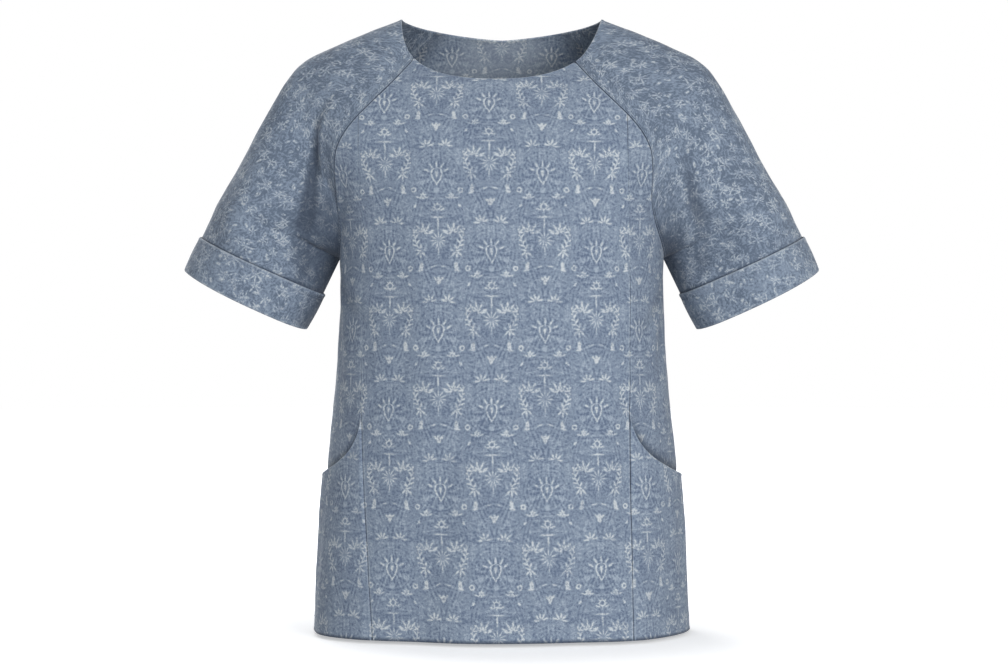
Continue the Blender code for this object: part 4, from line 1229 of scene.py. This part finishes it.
class Motifs:
    """Draws motifs as distances, below 0 inside, in one mirrored column of the repeat."""

    def __init__(self, shader, place):
        self.shader = shader
        self.place = place
        self.nearest = None

    def add(self, distance):
        self.nearest = distance if self.nearest is None else self.nearest.least(distance)

    def at(self, x, y, turn=0.0):
        """Local places around a point, turned by degrees."""
        moved = self.shader.vector("SUBTRACT", self.place, (x, y, 0))
        return self.shader.turned(moved, -radians(turn)) if turn else moved

    def around(self, x, y, turn=0.0):
        """Distance from a point and the angle from up, in radians."""
        local = self.at(x, y, turn)
        across, up = self.shader.parts(local)
        return self.shader.vector("LENGTH", local, output=1), across.math("ARCTAN2", up)

    def oval(self, local, long, wide):
        scaled = self.shader.vector("MULTIPLY", local, (1 / wide, 1 / long, 0))
        return self.shader.vector("LENGTH", scaled, output=1) * wide - wide

    def leaf(self, x, y, turn, long, wide):
        self.add(self.oval(self.at(x, y, turn), long, wide))

    def ring(self, x, y, radius, thin):
        away = self.shader.vector("DISTANCE", self.place, (x, y, 0), output=1)
        self.add(abs(away - radius) - thin)

    def drop(self, x, y, long, wide, thin):
        """An outlined drop, point down, with a small one inside."""
        across, up = self.shader.parts(self.at(x, y - long / 2))
        share = (up / long).math("MULTIPLY", 1.0, clamp=True)
        belly = share * (1 - share * share).math("SQRT") * (2 * wide)
        off = abs(across) - belly
        over = abs(up - long / 2) - long / 2
        self.add((abs(off) - thin).most(over - thin))
        self.add((off + wide * 0.78).most(over + long * 0.2))

    def fan(self, x, y, turn, count, near, far, wide, open_to=180.0):
        """Strokes or petals spread evenly round a point, over an arc each side of up."""
        away, angle = self.around(x, y, turn)
        folded = (angle + pi * 4).math("PINGPONG", pi / count)
        beside = away * folded.math("SINE")
        ahead = away * folded.math("COSINE") - (near + far) / 2
        petal = self.oval(self.shader.join(beside, ahead), (far - near) / 2, wide)
        if open_to < 180:
            petal = petal.most((abs(angle) - radians(open_to)) * 6)
        self.add(petal)

    def arc(self, x, y, turn, radius, open_to, thin):
        """Part of a ring, over an arc each side of up."""
        away, angle = self.around(x, y, turn)
        self.add((abs(away - radius) - thin).most((abs(angle) - radians(open_to)) * radius))

    def sprig(self, x, y, turn, reach, bow, pitch, long, wide):
        """A bowed stem with leaves slanting up on both sides of it."""
        across, up = self.shader.parts(self.at(x, y, turn))
        share = up / reach
        across = across - (1 - share * share) * bow
        beyond = abs(up) - reach
        self.add((abs(across) - STEM).most(beyond))
        stagger = across.math("GREATER_THAN", 0.0) * (pitch / 2)
        step = (up + stagger) % pitch - pitch / 2
        local = self.shader.join(abs(across) - long * 0.72, step)
        local = self.shader.turned(local, radians(LEAF_SLANT))
        self.add(self.oval(local, long, wide).most(beyond - 1))

    def scatter(self, cell, turn, seed):
        """Leaves and curls strewn one to a cell, each turned its own way."""
        shader = self.shader
        grid = shader.vector("ADD", shader.turned(self.place, radians(turn)), (seed, seed * 1.7, 0))
        index = shader.vector("FLOOR", shader.vector("SCALE", grid, scale=1 / cell))
        chance = shader.node("ShaderNodeTexWhiteNoise", {"noise_dimensions": "2D"}, {"Vector": index}, 1)
        along, beside = shader.parts(chance)
        middle = shader.vector("SCALE", shader.vector("ADD", index, (0.5, 0.5, 0)), scale=cell)
        nudge = shader.nudge(chance, cell * 0.34)
        local = shader.vector("SUBTRACT", grid, shader.vector("ADD", middle, nudge))
        local = shader.vector("MULTIPLY", local, (1, 1, 0))
        sprout = Motifs(shader, shader.turned(local, along * (4 * pi)))
        sprout.fan(0, -1.2, 0, 7, 1.6, cell * 0.40, 0.50, 78)
        sprout.fan(0.8, 1.2, 170, 9, 2.2, cell * 0.32, 0.38, 50)
        sprout.arc(1.4, 0.4, 40, cell * 0.36, 46, 0.26)
        blob = sprout.oval(sprout.at(cell * 0.16, -cell * 0.18, 30), 2.6, 1.3)
        self.add(sprout.nearest + beside.math("GREATER_THAN", 0.66) * 9)
        self.add(blob + beside.math("LESS_THAN", 0.52) * 9)


def wandering(shader, uv, sway):
    """The cloth's map in the print's units, swayed slowly and roughened finely."""
    waver = ((55.0, sway), (520.0, 2.2))
    moved, rough = (shader.nudge(shader.noise(uv, scale, 1.0, output=1), reach) for scale, reach in waver)
    printed = shader.vector("SCALE", uv, scale=PRINT_UNITS)
    return shader.vector("ADD", printed, shader.vector("ADD", moved, rough))


def repeat(shader, place):
    """Folds places into one mirrored column of the half-drop repeat."""
    u, v = shader.parts(place)
    column = (u / COLUMN + 0.5).math("FLOOR")
    x = abs(u - column * COLUMN)
    y = (v + column.math("PINGPONG", 1.0) * (RISE / 2)) % RISE
    return shader.join(x, y), x, y


def pale_motifs(shader, place):
    """The off-white motifs, listed from the foot of the repeat to its head."""
    m = Motifs(shader, place)
    # hanging leaves, then the rays between the sprays
    m.fan(20, 11.0, 180, 8, 1.6, 7.6, 0.80, 62)
    m.fan(0, 23, 0, 11, 3.8, 8.4, 0.40)
    m.leaf(0, 11.5, 0, 2.6, 0.45)
    # sprays of narrow leaves in two tiers, and the leafy twigs that hang beside them
    m.fan(16.5, 29.5, -4, 10, 6.4, 12.2, 0.88, 84)
    m.fan(16.5, 31.5, 14, 8, 1.2, 5.2, 0.78, 120)
    m.sprig(23.8, 24.0, -18, 13.0, 2.4, 6.2, 2.8, 0.80)
    m.leaf(9.0, 31.0, 70, 2.4, 0.70)
    # a scalloped ring over a short bar on a spike
    m.leaf(0, 42.5, 0, 5.6, 0.74)
    m.leaf(0, 48.5, 90, 6.0, 0.66)
    m.ring(0, 60, 3.1, 0.60)
    m.fan(0, 60, 0, 8, 3.8, 5.2, 0.50)
    m.leaf(5.6, 57.0, -66, 2.2, 0.60)
    # buds, small heads and rings between the columns
    m.leaf(25.0, 61, 40, 1.9, 1.0)
    m.fan(16, 72, 0, 6, 0.8, 3.3, 0.80)
    m.leaf(20.8, 70.2, -72, 2.6, 0.62)
    m.leaf(11.6, 70.6, 68, 1.8, 0.55)
    m.ring(26.2, 78.6, 2.3, 0.66)
    # the drop under a crown of even strokes
    m.drop(0, 94.5, 19, 5.8, 0.56)
    m.fan(0, 95, 0, 12, 10.5, 15.5, 0.80, 80)
    # a small fan of leaves each side, the star above and the buds
    m.fan(10.5, 129, -10, 9, 2.2, 8.0, 0.90, 90)
    m.leaf(0, 152.4, 0, 4.2, 2.3)
    m.leaf(3.0, 154.2, -42, 2.9, 1.05)
    m.leaf(19.6, 167.6, 6, 4.6, 2.0)
    m.leaf(20.2, 163.4, 78, 2.9, 1.0)
    m.leaf(5.8, 168.0, 74, 2.4, 0.50)
    return m.nearest


def strewn_motifs(shader, place):
    """The small leaves, curls and blobs that crowd the print's other stretch."""
    m = Motifs(shader, place)
    m.scatter(17.0, 21, 4.0)
    m.scatter(23.0, -34, 31.0)
    return m.nearest


def faint_motifs(shader, place):
    """Thin leaves and curls, a little paler than the ground, that fill in between the others."""
    m = Motifs(shader, place)
    m.arc(16.5, 44, -30, 8.0, 62, 0.30)
    m.arc(9.0, 116, 24, 9.5, 70, 0.30)
    m.arc(25.0, 96, 150, 10.0, 66, 0.30)
    m.fan(29.2, 118, 0, 9, 3.0, 8.6, 0.42)
    m.fan(9.0, 70, 180, 9, 2.4, 7.4, 0.40, 90)
    m.fan(0, 118, 0, 8, 2.0, 8.0, 0.40, 120)
    m.fan(29.2, 150, 180, 10, 4.0, 9.4, 0.42, 110)
    m.sprig(13.0, 148, -38, 8.0, 1.5, 4.6, 1.8, 0.42)
    m.scatter(12.0, 12, 7.0)
    return shader.ramp(m.nearest, 0.6, -0.3)


def echo(shader, pale, pitch=3.9):
    """Fine lines that follow the motifs' own outlines."""
    return pale.waves(pitch) * shader.ramp(pale, 12.0, 1.5)


def engraving(shader, place, x, y, pale):
    """The swirling lines between the motifs: below 0 they are darker than the ground."""
    m = Motifs(shader, place)
    swing = (y * (2 * pi / RISE) + 0.35).math("SINE")
    ogee = x - COLUMN / 4 - swing * 12.0
    lines = ogee.waves(4.4) * shader.ramp(abs(ogee), 8.5, 4.5)
    away, angle = m.around(0, 96)
    arches = away.waves(4.0) * shader.ramp(abs(away - 24.0), 7.0, 3.0)
    petals = (angle * 12.0).math("COSINE") * shader.ramp(abs(away - 15.0), 8.0, 4.0)
    slant = x + y * 0.85 - 76.0
    strokes = shader.ramp(abs(slant), 1.1, 0.3) * shader.ramp(abs(y - 52.0), 13.0, 9.0)
    reach, bend = m.around(COLUMN / 2, 10)
    scallops = reach * (2 * pi / 4.2) + (bend * 5.0).math("COSINE")
    shell = scallops.math("COSINE") * shader.ramp(reach, 21.0, 14.0)
    drawn = lines * 0.5 + arches * 0.45 + petals * 0.45 + shell * 0.4
    # the outlines' echoes stop short of the next column and the next repeat
    margin = y.least(RISE - y).least(COLUMN / 2 - x)
    return echo(shader, pale) * shader.ramp(margin, 0.0, 4.5) * 0.6 + drawn - strokes * 1.3


# The deep ground and where the ink has gone thin differ between the repeat and the strewn stretch
GROUND_DEEP = {False: srgb(92, 106, 130), True: srgb(92, 105, 123)}
GROUND = srgb(124, 138, 156)
GROUND_PALE = srgb(156, 168, 182)
INK_PALE = srgb(205, 210, 212)
THREAD_BLUE = srgb(128, 143, 162)
THREAD_DEEP = srgb(104, 120, 142)
# the colours of painted shade, and of wear with painted light
PAINTED_SHADE_COLOUR = srgb(52, 62, 78)
WORN_AND_PAINTED_LIGHT = srgb(184, 193, 202)
WARP = (1700, 160, 1)        # the grain's scales, fine across the threads and long along them
WEFT = (170, 1700, 1)
INK_WEAR = {False: (0.30, 0.60, 0.25, 1.0), True: (0.38, 0.64, 0.10, 1.0)}


def cotton(name, cover, strewn=False, lift=0.0):
    """Printed cotton: dusty blue ground, tonal swirls, worn off-white motifs, woven grain.

    Cover is how well the ink covers, and lift how much paler than usual the ground is.
    """
    shader = Shader(name)
    uv = shader.node("ShaderNodeUVMap", {"uv_map": "cloth"})
    if strewn:
        pale = strewn_motifs(shader, wandering(shader, uv, 9.0))
        drift = (shader.noise(uv, 24.0, 2.0, 0.5) * 52.0).math("COSINE")
        swirl = echo(shader, pale, 3.3) * 0.6 + drift * 0.35 + (shader.noise(uv, 16.0) - 0.5) * 2.0
    else:
        place, x, y = repeat(shader, wandering(shader, uv, 2.2))
        pale = pale_motifs(shader, place)
        swirl = engraving(shader, place, x, y, pale) + faint_motifs(shader, place) * 1.15
    cloudy = shader.noise(uv, 34.0, 2.0, 0.55)
    speckle = shader.noise(uv, 430.0, 2.0, 0.7)
    warp, weft = (shader.noise(shader.vector("MULTIPLY", uv, scale), 1.0, 1.0) for scale in (WARP, WEFT))
    grain = (warp + weft) * 0.5
    tone = swirl * 0.34 + (speckle - 0.5) * 1.6 + (cloudy - 0.5) * 0.6 + (grain - 0.5) * 0.5 + lift
    ground = shader.blend(shader.ramp(tone, 0.1, -0.55), GROUND, GROUND_DEEP[strewn])
    ground = shader.blend(shader.ramp(tone, 0.0, 0.70), ground, GROUND_PALE)
    worn = shader.ramp(speckle + (cloudy - 0.5) * 0.5, *INK_WEAR[strewn])
    shade = shader.node("ShaderNodeAttribute", {"attribute_name": "shade"}, output=2)
    # paler with wear, painted highlights and the paler wrong side where the shade attribute is above 0;
    # darker with painted shade where it is below 0
    ground = shader.blend(shader.ramp(shade, 0.0, 1.0) * 0.40, ground, WORN_AND_PAINTED_LIGHT)
    ink = shader.ramp(pale, 0.55, -0.40) * worn
    colour = shader.blend(ink * cover, ground, INK_PALE)
    colour = shader.blend(shader.ramp(shade, 0.0, -1.0) * 0.8, colour, PAINTED_SHADE_COLOUR)
    height = grain + speckle * 0.8 + ink * 0.3
    bump = shader.node("ShaderNodeBump", inputs={"Strength": 0.4, "Distance": 0.0005, "Height": height})
    return shader.finish({
        "Base Color": colour, "Normal": bump, "Roughness": 0.88, "Specular IOR Level": 0.22,
        "Sheen Weight": 0.10, "Sheen Roughness": 0.5,
    })


def thread(name):
    shader = Shader(name)
    place = shader.node("ShaderNodeTexCoord", output=3)
    twist = shader.noise(place, 900.0, 2.0)
    colour = shader.blend(twist, THREAD_DEEP, THREAD_BLUE)
    return shader.finish({"Base Color": colour, "Roughness": 0.7, "Sheen Weight": 0.2})


# Studio

CAMERA = (0.0025, -2.9, -0.355)
LENS = 92.15
FLOOR_Z = HEM_Z - 0.0035
REACH = 9.0                  # of the studio floor
FLOOR_SIDES = 96
FLOOR_PALE = 0.86
FLOOR_GLOW = (0.42, 1.0)     # how brightly the floor glows near the cloth and far from it; the dimmer glow near it paints a soft shade round the cloth
GLOW_STARTS, GLOW_FULL = 0.20, 0.52   # from the middle of the floor
SKY = 0.33
SKY_COLOUR = (0.93, 0.96, 1.0, 1)
LAMPS_AIM_AT = (0, 0, -0.35)
LAMPS = (                    # name, place, size and power
    ("key", (1.35, -2.9, 0.10), 1.5, 66),
    ("fill", (-1.1, -3.0, -0.25), 1.8, 23),
    ("top", (0.2, 0.2, 2.6), 2.6, 3),
    ("behind", (-1.3, 2.6, 1.1), 2.2, 66),
)


def studio():
    scene = bpy.context.scene
    camera = bpy.data.cameras.new("camera")
    camera.lens = LENS
    camera.sensor_width = 36
    holder = put_object("camera", camera)
    holder.location = CAMERA
    holder.rotation_euler = (pi / 2, 0, 0)
    scene.camera = holder
    scene.view_settings.view_transform = "Standard"

    world = bpy.data.worlds.new("studio")
    world.use_nodes = True
    sky = world.node_tree.nodes["Background"]
    sky.inputs["Color"].default_value = SKY_COLOUR
    sky.inputs["Strength"].default_value = SKY
    scene.world = world

    for name, place, size, energy in LAMPS:
        light = bpy.data.lights.new(name, "AREA")
        light.size = size
        light.energy = energy
        lamp = put_object(name, light)
        lamp.location = place
        lamp.rotation_euler = pointed(np.array(LAMPS_AIM_AT) - np.array(place))

    sides = range(FLOOR_SIDES)
    around = np.linspace(0, 2 * pi, FLOOR_SIDES + 1)[:-1]
    rim = [(REACH * cos(a), REACH * sin(a)) for a in around]
    floor = stage_piece("floor", [(x, y, FLOOR_Z) for x, y in rim], [list(sides)], FLOOR_PALE, FLOOR_GLOW)
    wall = [(x, y, z) for z in (FLOOR_Z - 0.01, FLOOR_Z + 2 * REACH) for x, y in rim]
    ahead = [(i + 1) % FLOOR_SIDES for i in sides]
    faces = [(i, FLOOR_SIDES + i, FLOOR_SIDES + ahead[i], ahead[i]) for i in sides]
    backdrop = stage_piece("backdrop", wall, faces, 0.0, (1.0, 1.0))


def stage_piece(name, points, faces, albedo, glow):
    """Part of the pale studio, which is seen but throws no light of its own on the cloth."""
    mesh = new_mesh(name, points, faces)
    piece = put_object(name, mesh)
    piece.visible_diffuse = False
    shader = Shader("studio_" + name)
    place = shader.node("ShaderNodeTexCoord", output=3)
    # the glow rises from near the middle to far; on the floor its dimmer middle is a painted soft shade round
    # the cloth
    away = shader.vector("LENGTH", shader.vector("MULTIPLY", place, (1, 1, 0)), output=1)
    near, far = ((level, level, level, 1) for level in glow)
    glowing = shader.blend(shader.ramp(away, GLOW_STARTS, GLOW_FULL), near, far)
    mesh.materials.append(shader.finish({
        "Base Color": (albedo, albedo, albedo, 1), "Roughness": 1.0, "Specular IOR Level": 0.0,
        "Emission Color": glowing, "Emission Strength": 1.0,
    }))
    return piece


def pointed(aim):
    """The turn that points a lamp along aim."""
    flat = np.hypot(aim[0], aim[1])
    return (np.arctan2(flat, -aim[2]), 0, np.arctan2(-aim[0], aim[1]))


# Sewing it together

def lay(sheet, name, cloth, node):
    """Builds a shell, works out the size that its cloth is cut to, and hides the solid it stands for."""
    piece = sheet.build(name, cloth)
    width, length = (float(size) for size in np.ptp(sheet.uv, axis=(0, 1)))
    area = min(sheet.area(), width * length)
    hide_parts(node)


def make():
    body_cloth = cotton("body_cotton", 0.84, lift=-0.05)
    side_cloth = cotton("side_cotton", 0.70, lift=-0.05)
    sleeve_cloth = cotton("sleeve_cotton", 0.70, strewn=True, lift=-0.16)
    cuff_cloth = cotton("cuff_cotton", 0.70, strewn=True, lift=-0.08)
    sewing = thread("sewing_thread")

    front = centre_front()
    lay(front, "front_cloth", body_cloth, "centre_front")
    behind = back()
    lay(behind, "back_cloth", body_cloth, "back")
    hem_row = int(np.argmin(np.abs(HEM_LINES - HEM_DEPTH)))
    seam_column = int(np.argmin(np.abs(SEAM_LINES - TOPSTITCH)))
    hem_lines = [front.path(row=hem_row), behind.path(row=hem_row)]
    for side, hand in ((1, "left"), (-1, "right")):
        panel_name, sleeve_name = "side_cloth_" + hand, "sleeve_cloth_" + hand
        lay(side_front(side), panel_name, side_cloth, "side_front_" + hand)
        patch = pocket(side)
        pocket_name = "pocket_cloth_" + hand
        lay(patch, pocket_name, side_cloth, "pocket_" + hand)
        arm, open_rows = sleeve(side)
        lay(arm, sleeve_name, sleeve_cloth, "sleeve_" + hand)
        mesh, path, normals, size = cuff(side)
        band = finish_mesh("cuff_cloth_" + hand, mesh, cuff_cloth)
        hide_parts("cuff_" + hand)
        hem_lines.append(patch.path(row=hem_row))
        seam_lines = [arm.path(row=open_rows, column=k) for k in (seam_column, -1 - seam_column)]
        seam_lines.append((np.concatenate([path, path[:1]]), np.concatenate([normals, normals[:1]])))
        stitches("sleeve_stitches_" + hand, seam_lines, sewing)
    stitches("hem_stitches", hem_lines, sewing)


studio()
make()
